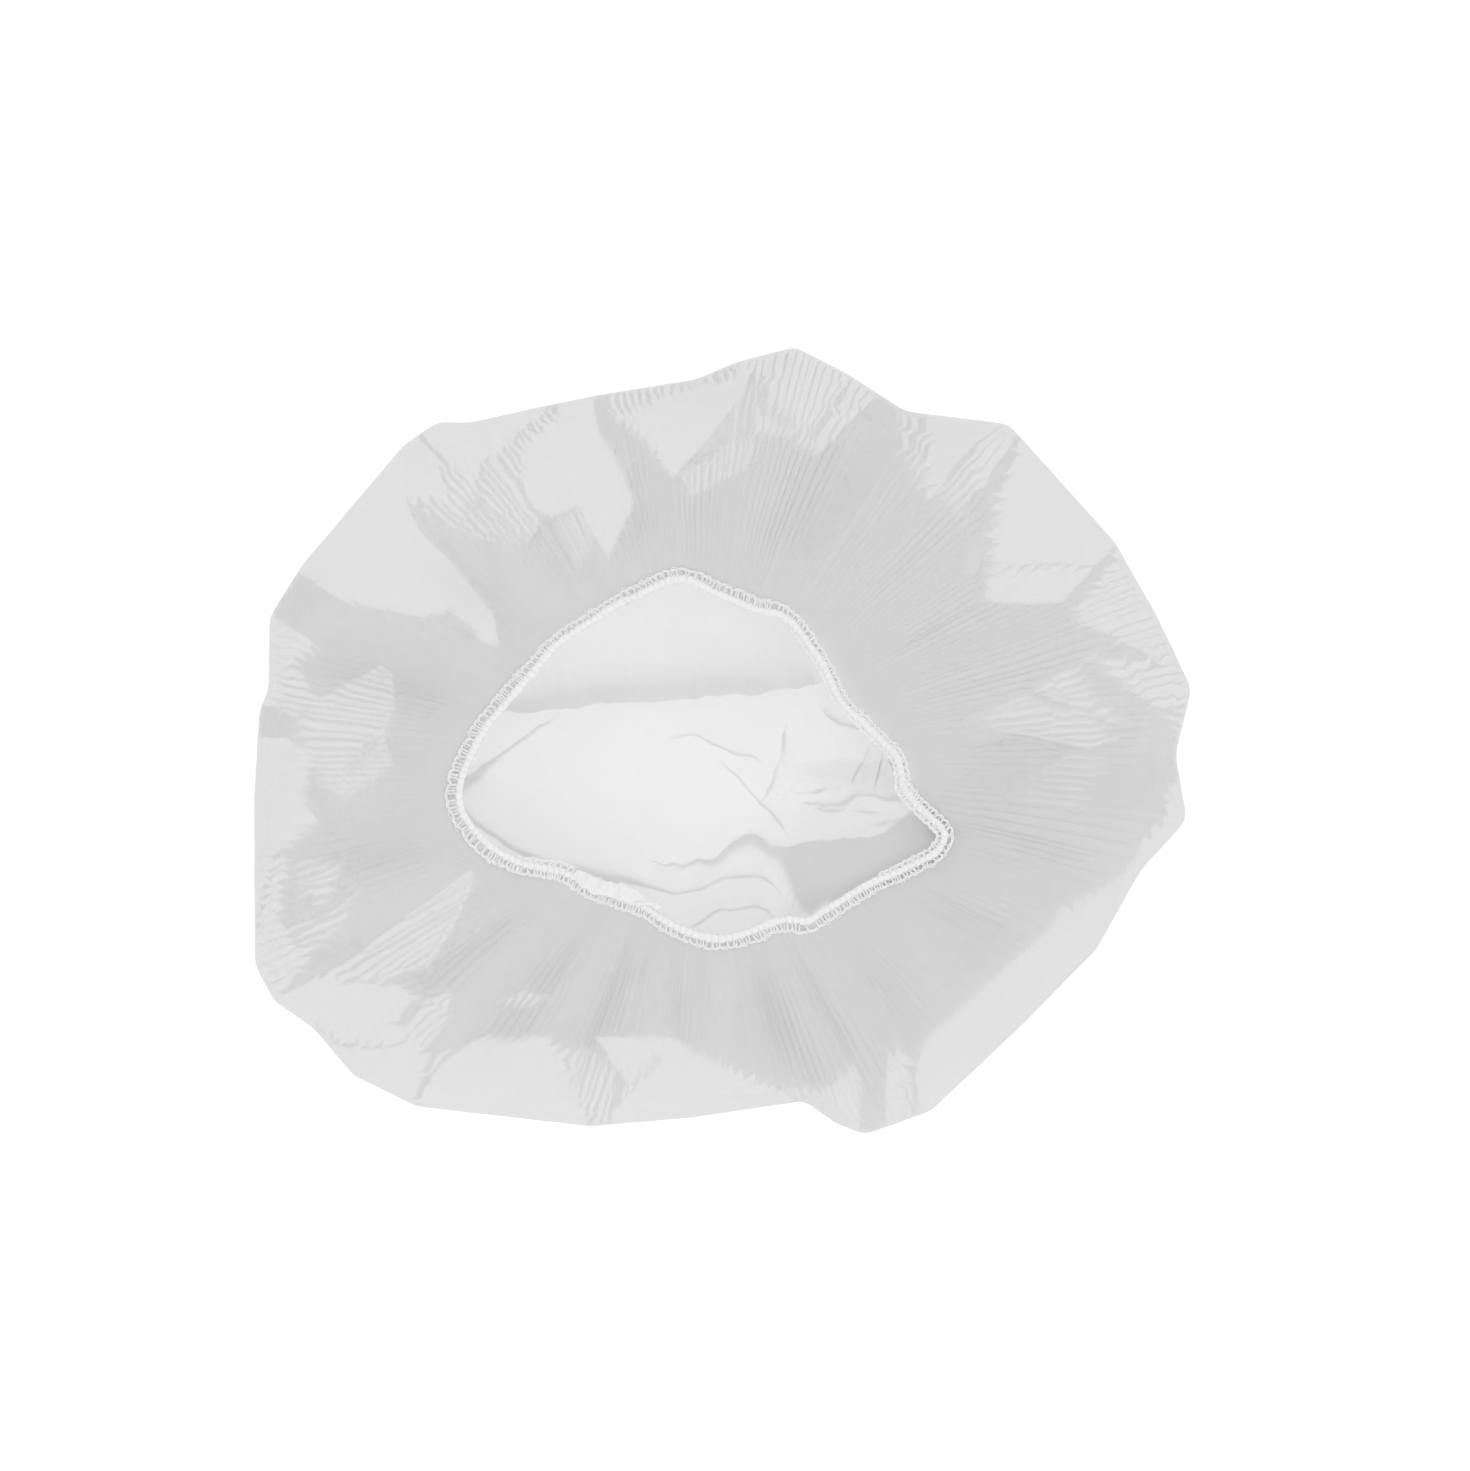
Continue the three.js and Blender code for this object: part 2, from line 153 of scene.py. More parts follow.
# %% [markdown]
# ## Measuring the frame
#
# The cloth has to lie on the solids, so the solids are measured by shooting rays at them, as a contact probe
# does. Level rays from outside find the rim, level rays from inside find the elastic, and rays from above
# find the height of the ring's top. All of it is kept as tables by direction around the mouth's middle.

# %% Probes
DIRECTIONS = 720
direction_step = TURN / DIRECTIONS
directions = np.arange(DIRECTIONS) * direction_step


def solid_tree(node):
    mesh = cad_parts[node].data
    places = [vertex.co.copy() for vertex in mesh.vertices]
    return BVHTree.FromPolygons(places, [tuple(face.vertices) for face in mesh.polygons])


def soften(table, degrees):
    """Smooths a table by direction, around the full turn, with a bell of that width."""
    width = math.radians(degrees) / direction_step
    offsets = np.arange(-int(3 * width) - 1, int(3 * width) + 2)
    weights = np.exp(-0.5 * (offsets / width) ** 2)
    weights /= weights.sum()
    return sum(w * np.roll(table, o, axis=0) for w, o in zip(weights, offsets))


def at_direction(table, turn):
    """Reads a table by direction at any directions, in radians."""
    place = np.asarray(turn) / direction_step
    low = np.floor(place).astype(int)
    part = place - low
    a, b = table[low % DIRECTIONS], table[(low + 1) % DIRECTIONS]
    return a + (b - a) * part


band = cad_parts["elastic_band"].data
middle = np.mean([vertex.co[:2] for vertex in band.vertices], axis=0) / MM
print(f"The mouth's middle is at {middle[0]:.1f}, {middle[1]:.1f} mm")

# %% Rim and mouth
cloth_tree = solid_tree("cap_cloth")
elastic_tree = solid_tree("elastic_band")
PROBE_REACH = 300.0


def level_probe(tree, turn, height, inward):
    """Distance from the mouth's middle to the first face that a level ray meets, or None."""
    out = Vector((math.cos(turn), math.sin(turn), 0))
    centre = Vector((middle[0], middle[1], height)) * MM
    start, aim = (centre + out * PROBE_REACH * MM, -out) if inward else (centre, out)
    hit = tree.ray_cast(start, aim)[0]
    return None if hit is None else (hit - centre).length / MM


def widest(turn):
    found = [(level_probe(cloth_tree, turn, z, True) or 0, z) for z in np.arange(8, 23, 1.0)]
    return max(found)


def mouth_edge(turn):
    found = [(level_probe(elastic_tree, turn, z, False) or 1e3, z) for z in np.arange(34, 41, 0.25)]
    return min(found)


rim_reach, rim_height = np.array([widest(turn) for turn in directions]).T
mouth_reach, mouth_height = np.array([mouth_edge(turn) for turn in directions]).T
ROUND_CORNERS = 0.7  # degrees over which a folded corner of cloth turns
smooth_rim = soften(rim_reach, ROUND_CORNERS)
smooth_rim_height = soften(rim_height, 3)
# The limp seam lies further in than the rigid one of the solids: (direction in degrees, distance in mm).
# These pairs weren't chosen by hand. A measuring script listed how far the seam was off in each direction,
# and they are its numbers, added to a first guess of 1.5 mm, rounded and thinned out.
ROLLED_IN = [(0, 1.9), (14, 1.8), (20, 2.4), (30, 0.3), (38, 0.3), (46, 0.9), (60, 0.7), (68, 3.0),
             (90, 3.2), (104, 2.6), (114, 0.8), (126, 1.9), (140, 0.8), (150, 2.8), (178, 3.8), (190, 2.6),
             (206, 4.2), (240, 4.2), (256, 3.3), (315, 3.8), (326, 3.3), (332, 2.0), (342, 1.0), (350, 3.0)]
rolled = soften(np.interp(np.degrees(directions), *np.array(ROLLED_IN).T, period=360), 1.5)
smooth_mouth = soften(mouth_reach, ROUND_CORNERS) - rolled
smooth_mouth_height = soften(mouth_height, 4)
print(f"Rim {rim_reach.min():.0f} to {rim_reach.max():.0f} mm out")
print(f"Mouth {mouth_reach.min():.0f} to {mouth_reach.max():.0f} mm out")

# %% Rows of the ring and the height of its top
SHOULDER = 0.36  # share of the way from rim to mouth over which the ring curves up
SHOULDER_ROWS = 14
RING_ROWS = 48
bend = np.linspace(0, math.pi / 2, SHOULDER_ROWS + 1)
shares = np.concatenate([SHOULDER * (1 - np.cos(bend)), np.linspace(SHOULDER, 1, RING_ROWS + 1)[1:]])
ROWS = len(shares)
PROBE_HEIGHT = 100.0
LAST_PROBED = 0.95  # nearer the mouth the ring is level with the elastic


def ring_place(turn, share, rim, mouth):
    reach = at_direction(rim, turn) * (1 - share) + at_direction(mouth, turn) * share
    return middle[0] + reach * np.cos(turn), middle[1] + reach * np.sin(turn)


def top_probe(x, y):
    hit = cloth_tree.ray_cast(Vector((x, y, PROBE_HEIGHT)) * MM, Vector((0, 0, -1)))[0]
    return None if hit is None else hit.z / MM


def probe_ring():
    """Heights of the ring's top by direction and row."""
    heights = np.tile(mouth_height[:, None], ROWS)
    heights[:, 0] = rim_height
    for row in range(1, np.count_nonzero(shares <= LAST_PROBED)):
        x, y = ring_place(directions, shares[row], rim_reach, mouth_reach)
        for i in range(DIRECTIONS):
            found = top_probe(x[i], y[i])
            heights[i, row] = heights[i, row - 1] if found is None else found
    return heights


PLEAT_BLUR = 2.2  # degrees, wider than the solids' own zigzag
ring_top = soften(probe_ring(), PLEAT_BLUR)
for _ in range(3):  # and along the rows, away from the steep shoulder
    ring_top[:, 8:-1] = 0.25 * ring_top[:, 7:-2] + 0.5 * ring_top[:, 8:-1] + 0.25 * ring_top[:, 9:]
print(f"The ring's top is {ring_top[:, SHOULDER_ROWS].min():.0f} to {ring_top.max():.0f} mm high")

# %% [markdown]
# ## Smooth petals and gathered cloth
#
# Gathered cloth doesn't spread its pleats evenly. Where it puffs out it makes smooth petals one layer thick,
# and the spare cloth is crowded between them in pleats that lie three layers thick. One could paint the two
# tones, but they would slide off the form. Here the layers are real: a chart of the petals, in millimetres
# in plan, says how full of pleats each place is, and the columns of the mesh are then folded to match.

# %% Petals
# Each petal: how clear it is (1 is a single layer), how soft its border is in mm, and its corners.
# Petals that run out to the rim have their outer corners beyond it.
PETALS = {
    "upper_left_large": (1.0, 1.2, [(-146, 58), (-130, 48.5), (-101, 42.5), (-93, 44.5), (-86, 39.5),
        (-82, 33.5), (-76, 33), (-79, 45), (-94, 63), (-103, 72), (-109, 82), (-95, 83), (-101, 98),
        (-104, 104), (-115, 112), (-155, 90)]),
    "upper_left_wedge": (0.6, 1.5, [(-104, 104), (-92, 93), (-84, 86.5), (-86, 80), (-97, 78), (-104, 80),
        (-95, 83), (-101, 98)]),
    "upper_left_outer": (1.0, 1.2, [(-104, 105), (-92, 93), (-85.5, 87.5), (-82, 97), (-76, 99), (-68, 108),
        (-62, 112), (-66, 125), (-100, 118)]),
    "upper_left_band": (0.55, 1.5, [(-62, 112), (-76, 99), (-82, 97), (-84, 87), (-80, 80), (-66, 68),
        (-61, 76), (-66, 82), (-69, 102), (-58, 111), (-60, 122)]),
    "upper_left_low": (0.35, 2, [(-97, 78), (-80, 80), (-66, 67), (-82, 69), (-94, 74)]),
    "top_left": (1.0, 1.2, [(-69, 102), (-57, 111.5), (-56, 125), (-46, 125), (-43, 108), (-34, 92),
        (-30, 82), (-34, 74), (-39, 62.5), (-46, 73), (-50, 80), (-60, 76), (-66, 80), (-69, 88)]),
    "top_left_tip": (0.5, 2, [(-58, 75), (-50, 60), (-44, 66), (-46, 77), (-50, 79)]),
    "top": (1.0, 1.2, [(-38, 111), (-20, 119), (0, 124), (10, 129), (6, 119), (-4, 105), (-13, 95),
        (-16, 90), (-19, 93), (-25, 101), (-33, 109)]),
    "top_rim": (0.5, 1.5, [(-38, 111), (-20, 119), (0, 124), (10, 129), (12, 140), (-10, 140), (-40, 128)]),
    "top_shade": (0.35, 2, [(6, 119), (-4, 105), (-13, 95), (-8, 97), (9, 107), (14, 121), (12, 129)]),
    "top_sliver": (0.6, 1.5, [(-10, 84), (-14, 91), (3, 102.5), (12, 102), (9, 93), (-4, 87)]),
    "top_crumpled": (0.75, 1.5, [(2, 128), (8, 145), (40, 145), (50, 122), (55, 119), (43, 109), (33, 97.5),
        (25, 101), (9, 107), (16, 118), (14, 125)]),
    "upper_right_strip": (0.45, 1.5, [(59, 117), (62, 100), (68, 84), (70.5, 102), (69.5, 112), (66, 125)]),
    "upper_right_rim": (1.0, 1.2, [(60, 118), (69.5, 112), (70.5, 102), (69, 88), (70, 82), (80, 96),
        (90, 106), (95, 112), (85, 130), (62, 130)]),
    "upper_right_band": (0.5, 1.5, [(95, 112), (90, 106), (74, 87), (72, 84), (84, 76), (86, 88), (88, 101),
        (98, 110)]),
    "upper_right_small": (0.9, 1.2, [(88, 101), (85, 90), (86, 85), (89, 84.5), (93, 93), (99, 101),
        (103, 113), (94, 112)]),
    "upper_right": (1.0, 1.2, [(101, 99), (104, 118), (145, 85), (136, 69), (127, 59), (117, 47.5),
        (100, 47), (90, 48), (90, 56), (92, 60), (92, 70), (95, 85)]),
    "upper_right_tip": (0.4, 2, [(85, 66), (89, 64), (88, 58), (85, 55), (83, 58)]),
    "right_rim": (0.85, 1.5, [(136, 69), (155, 75), (172, 30), (160, 22), (143, 31), (122, 41), (119.5, 44),
        (126, 50), (133, 60)]),
    "right_wedge": (0.75, 1.5, [(126, 29), (147, 27), (165, 24), (165, 17), (158, 14), (152, 10), (144, 14),
        (132, 24)]),
    "right_edge": (0.45, 1.5, [(158, 15), (170, 18), (170, 2), (155, 2), (152, 8)]),
    "right_upper": (0.65, 1.5, [(107, 17), (115, 23.5), (120, 25), (127, 15), (139, 4.5), (130, 7),
        (112, 14.5)]),
    "right_middle": (0.6, 1.5, [(90, 10), (104, 16), (113, 11), (125, 9), (135, 1), (127, -4), (105, 1.5),
        (92, 3)]),
    "right_inner": (0.25, 2, [(80, 0), (86, 8), (90, 9), (97, 0), (85, -3)]),
    "right_low": (0.3, 2.5, [(110, -11), (117, -5), (130, -4), (131, -12), (122, -25), (98, -22),
        (95, -18)]),
    "lower_right_strip": (1.0, 1.2, [(157, -12), (175, -20), (135, -105), (85, -138), (68, -127),
        (65.5, -112), (69, -103), (82, -92), (108, -67), (115, -59), (138, -46), (144, -35), (152, -27),
        (153, -18)]),
    "bottom_right": (0.95, 1.2, [(57, -148), (70, -142), (66, -121), (63, -112), (65, -106), (56, -109),
        (55.5, -122)]),
    "bottom_narrow": (0.9, 1.2, [(30, -122.5), (40, -116), (45.5, -111), (47, -116), (47, -134), (46, -148),
        (30, -148)]),
    "bottom_band": (0.6, 1.5, [(20, -119), (35, -118), (40, -115), (30, -122.5), (30, -145), (20, -145)]),
    "bottom": (1.0, 1.2, [(-44, -101), (-17, -101), (-9, -107), (6, -114), (23, -121), (25, -148),
        (-40, -148), (-38, -126), (-33, -117), (-38, -110)]),
    "bottom_wedge": (0.55, 1.5, [(-57, -104), (-46, -106), (-38, -112), (-38, -122), (-43, -148),
        (-48, -148), (-53, -115)]),
    "bottom_left": (1.0, 1.2, [(-82, -101), (-59, -101), (-56, -106), (-46, -130), (-48, -150),
        (-104, -140), (-104, -121), (-95, -111), (-87, -103)]),
    "lower_left_patch": (0.65, 1.5, [(-76, -91), (-73, -87), (-68, -85), (-60, -87), (-66, -91)]),
    "lower_left_rim": (1.0, 1.2, [(-155, -88), (-168, -105), (-135, -135), (-106, -138), (-105, -121),
        (-101, -109), (-105, -100), (-111, -97), (-105, -88), (-107, -84), (-138, -81.5), (-146, -85)]),
    "lower_left_second": (0.65, 1.5, [(-111, -98), (-103, -88), (-95, -86), (-93, -88), (-97, -99),
        (-102, -105)]),
    "lower_left_third": (0.45, 1.5, [(-105, -138), (-101, -112), (-99, -105), (-91, -105), (-99, -116),
        (-101, -138)]),
    "lower_left_wedge": (0.7, 1.2, [(-145, -82), (-130, -75), (-104, -56), (-86, -43), (-85, -48),
        (-90, -60), (-100, -77.5), (-118, -82), (-135, -81)]),
    "left_low_rim": (0.9, 1.2, [(-156, -42), (-150, -41), (-153, -60), (-143, -76), (-153, -88),
        (-172, -100), (-180, -60)]),
    "left_crumple_rim": (0.35, 1.5, [(-148, -42), (-142, -39), (-135, -42), (-142, -52), (-147, -55)]),
    "left_crumple": (0.6, 1.5, [(-136, -43), (-130, -41), (-133, -48), (-140, -59), (-141, -48)]),
    "left_crumple_low": (0.45, 1.5, [(-149, -62), (-137, -60), (-123, -48), (-129, -60), (-136, -68),
        (-143, -73)]),
    "left_strip": (0.95, 1.2, [(-175, 0), (-150, 2), (-143, -3), (-141, -6), (-144, -18), (-140, -28),
        (-151, -39), (-157, -50), (-161, -66), (-178, -60)]),
    "left_square": (0.65, 1.5, [(-146, 6), (-140, 15), (-117, 27), (-113, 24), (-112, 12), (-116, 2),
        (-113, -8), (-120, -14), (-130, -20.5), (-137, -15), (-142, -6)]),
    "left_rim": (0.9, 1.2, [(-172, 40), (-150, 40), (-139, 33.5), (-152, 23), (-152, 15), (-155, 12),
        (-175, 12)]),
    "left_rim_inner": (0.65, 1.5, [(-151, 25), (-146, 27), (-140, 15), (-146, 8), (-155, 12)]),
    "left_finger": (0.5, 1.5, [(-172, 40), (-150, 40), (-153, 46), (-172, 52)]),
}
# Creases across petals: how dark they are (1 is as full of pleats as the cloth beside it), width, and way.
CREASES = {
    "upper_right_line": (0.4, 2.2, [(90, 56), (98, 60), (110, 61), (128, 60)]),
    "top_spot": (0.6, 3.5, [(16, 114), (25, 105)]),
    "top_spots": (0.6, 3.5, [(31, 106), (41, 120)]),
    "bottom_right_line": (0.5, 3.0, [(67, -138), (65, -118), (66, -105)]),
    "bottom_line": (0.5, 3.0, [(-22, -109), (-30, -118), (-38, -126)]),
    "lower_left_line": (0.5, 3.0, [(-111, -97), (-103, -87)]),
    "lower_left_creases": (0.5, 2.2, [(-140, -99), (-128, -106), (-112, -105), (-107, -104)]),
    "left_line": (0.5, 2.2, [(-152, -38), (-156, -48), (-161, -66)]),
    "left_square_line": (0.5, 3.0, [(-120, 0), (-128, -10)]),
    "left_spot": (0.8, 5.0, [(-154, 4), (-147, 5)]),
}


def edge_distance(x, y, start, end):
    """Distance in mm from each place to a straight edge."""
    (x0, y0), (x1, y1) = start, end
    square = (x1 - x0) ** 2 + (y1 - y0) ** 2
    along = np.clip(((x - x0) * (x1 - x0) + (y - y0) * (y1 - y0)) / square, 0, 1)
    return np.hypot(x - x0 - along * (x1 - x0), y - y0 - along * (y1 - y0))


def inside_depth(x, y, corners):
    """Distance in mm from each place to an outline, positive inside it."""
    nearest = np.full(x.shape, 1e9)
    inside = np.zeros(x.shape, bool)
    for (x0, y0), (x1, y1) in zip(corners, [*corners[1:], corners[0]]):
        nearest = np.minimum(nearest, edge_distance(x, y, (x0, y0), (x1, y1)))
        if y0 != y1:
            crosses = (y0 > y) != (y1 > y)
            inside ^= crosses & (x < x0 + (y - y0) * (x1 - x0) / (y1 - y0))
    return np.where(inside, nearest, -nearest)


def ease(value, low, high):
    t = np.clip((value - low) / (high - low), 0, 1)
    return t * t * (3 - 2 * t)


def pleat_fullness():
    """How full of pleats the ring is, from 0 to 1, by direction and row."""
    x, y = ring_place(directions[:, None], shares[None, :], smooth_rim, smooth_mouth)
    clear = np.zeros(x.shape)
    for clearness, border, corners in PETALS.values():
        depth = inside_depth(x, y, corners)
        clear = np.maximum(clear, clearness * ease(depth, -border / 2, border / 2))
    for darkness, width, way in CREASES.values():
        off = np.min([edge_distance(x, y, a, b) for a, b in zip(way, way[1:])], axis=0)
        clear *= 1 - darkness * (1 - ease(off, width / 2 - 0.5, width / 2 + 0.5))
    return 1 - clear


fullness = pleat_fullness()
print(f"Pleats fill {fullness.mean():.0%} of the ring, beside {len(PETALS)} petals")

# %% [markdown]
# ## Folding the columns
#
# The ring is a grid: rows run round it and columns run from the rim to the mouth. Three columns make one
# knife pleat: two go forward as far as the start of the next pleat but one, and the third goes back to the
# next pleat's start. Each place is then covered three times, the sheet never passes through itself, and its
# height climbs and drops like a shingle's. With no fullness the same columns spread out evenly and the pleat
# is gone, so a pleat fades out in a petal.

# %% Pleats
PLEATS = 300
FORWARD, BACKWARD = 2, 1
PER_PLEAT = FORWARD + BACKWARD
COLUMNS = PLEATS * PER_PLEAT
UNEVEN = 0.25  # spread of the pleats' widths
dice = np.random.default_rng(7)
widths = np.exp(dice.normal(0, UNEVEN, PLEATS))
pleat_marks = np.concatenate([[0], np.cumsum(widths)]) / widths.sum()
even = np.arange(PER_PLEAT + 1) / PER_PLEAT
folded = np.concatenate([2 * np.arange(FORWARD) / FORWARD, 2 - np.arange(BACKWARD + 1) / BACKWARD])
climb = np.concatenate([np.arange(FORWARD) / FORWARD, 1 - np.arange(BACKWARD + 1) / BACKWARD])


def blur_rows(table, width):
    """Smooths a table by direction and row, along its rows, with a bell of that many rows."""
    step = np.arange(table.shape[1])
    weights = np.exp(-0.5 * ((step[:, None] - step[None, :]) / width) ** 2)
    return table @ (weights / weights.sum(axis=0))


gathered = blur_rows(soften(fullness, 2.5), 5)  # pleated cloth is stiffer, so it waves less


CLEAR_JUMP = 0.1  # the least jump in fullness that counts as a petal's border


def borders(row):
    """Directions on a row where a petal begins or ends."""
    full = fullness[:, row]
    jump = np.abs(np.roll(full, -1) - np.roll(full, 1))
    before, after = np.roll(jump, 1), np.roll(jump, -1)
    peak = (jump > CLEAR_JUMP) & (jump >= before) & (jump > after)
    middles = directions + direction_step * (after - before) / (before + jump + after + 1e-9)
    return middles[peak]


def row_marks(row):
    """Directions of the pleats' starts on a row. The start nearest to a petal's border is moved onto it."""
    turns = TURN * pleat_marks
    moves = {int(np.abs(turns - border).argmin()) % PLEATS: border for border in borders(row)}
    moved = sorted(moves)
    if not moved:
        return turns
    number, move = [], []
    for here, follow in zip(moved, [*moved[1:], moved[0] + PLEATS]):
        number.append(here)
        move.append((moves[here] - turns[here] + math.pi) % TURN - math.pi)
        if follow - here > 4:  # the starts in between stay where they are
            number += [here + 2, follow - 2]
            move += [0, 0]
    return turns + np.interp(np.arange(PLEATS + 1), number, move, period=PLEATS)


def smooth_noise(x, y, grain, seed):
    """Soft noise from -1 to 1 whose lumps are about `grain` mm across."""
    values = np.random.default_rng(seed).uniform(-1, 1, (64, 64))
    u, v = np.asarray(x) / grain, np.asarray(y) / grain
    i, j = np.floor(u).astype(int), np.floor(v).astype(int)
    s, t = ease(u - i, 0, 1), ease(v - j, 0, 1)

    def knot(a, b):
        return values[a % 64, b % 64]

    low = knot(i, j) * (1 - s) + knot(i + 1, j) * s
    high = knot(i, j + 1) * (1 - s) + knot(i + 1, j + 1) * s
    return low * (1 - t) + high * t


def waves(x, y, sizes, seed):
    """Soft waves of several (height, length) added up."""
    return sum(height * smooth_noise(x, y, length, seed + i) for i, (height, length) in enumerate(sizes))


STEEP_ROWS = 3  # from the rim, over which the pleats form
marks = np.array([row_marks(row) for row in range(ROWS)])
pleat_number = np.arange(PLEATS)


def between_marks(row, place):
    """Directions on a row at any places counted in pleats."""
    ahead = np.concatenate([marks[row], marks[row, 1:4] + TURN])
    return np.interp(place, np.arange(len(ahead)), ahead)


def pleat_strength(row):
    """How far each pleat is folded: at 1 it is three layers all over, below 1/4 it is one."""
    full = at_direction(fullness[:, row], between_marks(row, pleat_number + 1.5))
    uneven = 1 + 0.04 * smooth_noise(pleat_number * 0.8, np.full(PLEATS, shares[row] * 6), 1, 3)
    folded_share = 0.25 * ease(full, 0, 0.05) + 0.75 * full
    pressed = 1 - 0.5 * ease(shares[row], 0.92, 0.96)  # the stitches spread the cloth that they hold
    return np.minimum(folded_share * uneven, 1) * pressed * ease(row, 0, STEEP_ROWS)


strength = np.array([pleat_strength(row) for row in range(ROWS)])
print(f"{PLEATS} pleats of {PER_PLEAT} columns, {ROWS} rows")

# %% The ring's surface
PLEAT_HEIGHT = 0.8  # of a full pleat, away from the seam
SEAM_HEIGHT = 0.5  # pressed flat by the stitches
SEAM_SHARE = 0.90  # where the pleats start to be pressed
CLOTH_BELOW = 0.6  # beside the mouth the lowest layer lies this far below the solids' edge
FIRM_SHARE = 0.8  # from here on to the mouth the seam holds the cloth level
LOOSE_WAVES = [(1.1, 21), (0.3, 8)]  # heights and lengths of the loose cloth's waves
PLEAT_WANDER = [(0.6, 26), (0.15, 9)]  # and of the pleats' wander in plan


def ring_surface():
    """Places in mm of the ring's columns, row by row, from the rim in to the mouth."""
    rows = []
    for row, share in enumerate(shares):
        full = strength[row][:, None]
        across = even[:-1] + full * (folded - even)[:-1]
        turns = between_marks(row, pleat_number[:, None] + across).ravel()
        lift = (full * climb[:-1]).ravel()
        x, y = ring_place(turns, share, smooth_rim, smooth_mouth)
        steep = ease(share, 0.0, 0.3)
        height = SEAM_HEIGHT + (PLEAT_HEIGHT - SEAM_HEIGHT) * (1 - ease(share, SEAM_SHARE - 0.2, SEAM_SHARE))
        firm = ease(share, FIRM_SHARE, 1)
        loose = (1 - firm) * steep * (1 - 0.6 * at_direction(gathered[:, row], turns))
        level = at_direction(ring_top[:, row], turns) - CLOTH_BELOW * firm
        level += loose * waves(x, y, LOOSE_WAVES, 11)
        wander = (1 - firm) * ease(share, 0.02, 0.2)
        dx = wander * waves(x, y, PLEAT_WANDER, 21)
        dy = wander * waves(x, y, PLEAT_WANDER, 23)
        rows.append(np.stack([x + dx, y + dy, level + height * steep * lift], axis=1))
    return np.array(rows)


ring_points = ring_surface()
print(f"Ring of {ROWS} rows of {COLUMNS} points, top {ring_points[..., 2].max():.1f} mm")

# %% [markdown]
# ## The side and the crown
#
# Below the rim the cloth rounds in under the ring and comes to rest. The crown lies flat, but the cloth has
# slack, and slack that is pressed down makes Z-folds: the sheet runs over an edge, back under itself and on
# again. A fold's edge is a sharp line that no regular grid follows. So the crown is cut as a flat pattern:
# the two creases of each fold are drawn on it, it is filled with triangles that keep to the creases, and
# then a simple rule pulls each fold shut. Most folds are pressed nearly flat and one stands open, so each
# has a gap of its own. Last, the slack beside the mouth's edge stands up in a billow, high on the lower
# right, and the crown's middle puffs up a little.

# %% The side
BASE_SHARE = 0.86
SIDE_ROWS = 8
rim_turns = np.arctan2(ring_points[0, :, 1] - middle[1], ring_points[0, :, 0] - middle[0])


def side_surface():
    rows = []
    reach = at_direction(smooth_rim, rim_turns)
    height = at_direction(smooth_rim_height, rim_turns)
    ring_points[0, :, 2] = height
    for turn in np.linspace(math.pi / 2, 0, SIDE_ROWS + 1)[1:]:
        share = BASE_SHARE + (1 - BASE_SHARE) * math.sin(turn)
        x = middle[0] + reach * share * np.cos(rim_turns)
        y = middle[1] + reach * share * np.sin(rim_turns)
        rows.append(np.stack([x, y, height * (1 - math.cos(turn))], axis=1))
    return np.array(rows)


side_points = side_surface()
base_ring = side_points[-1, :, :2]

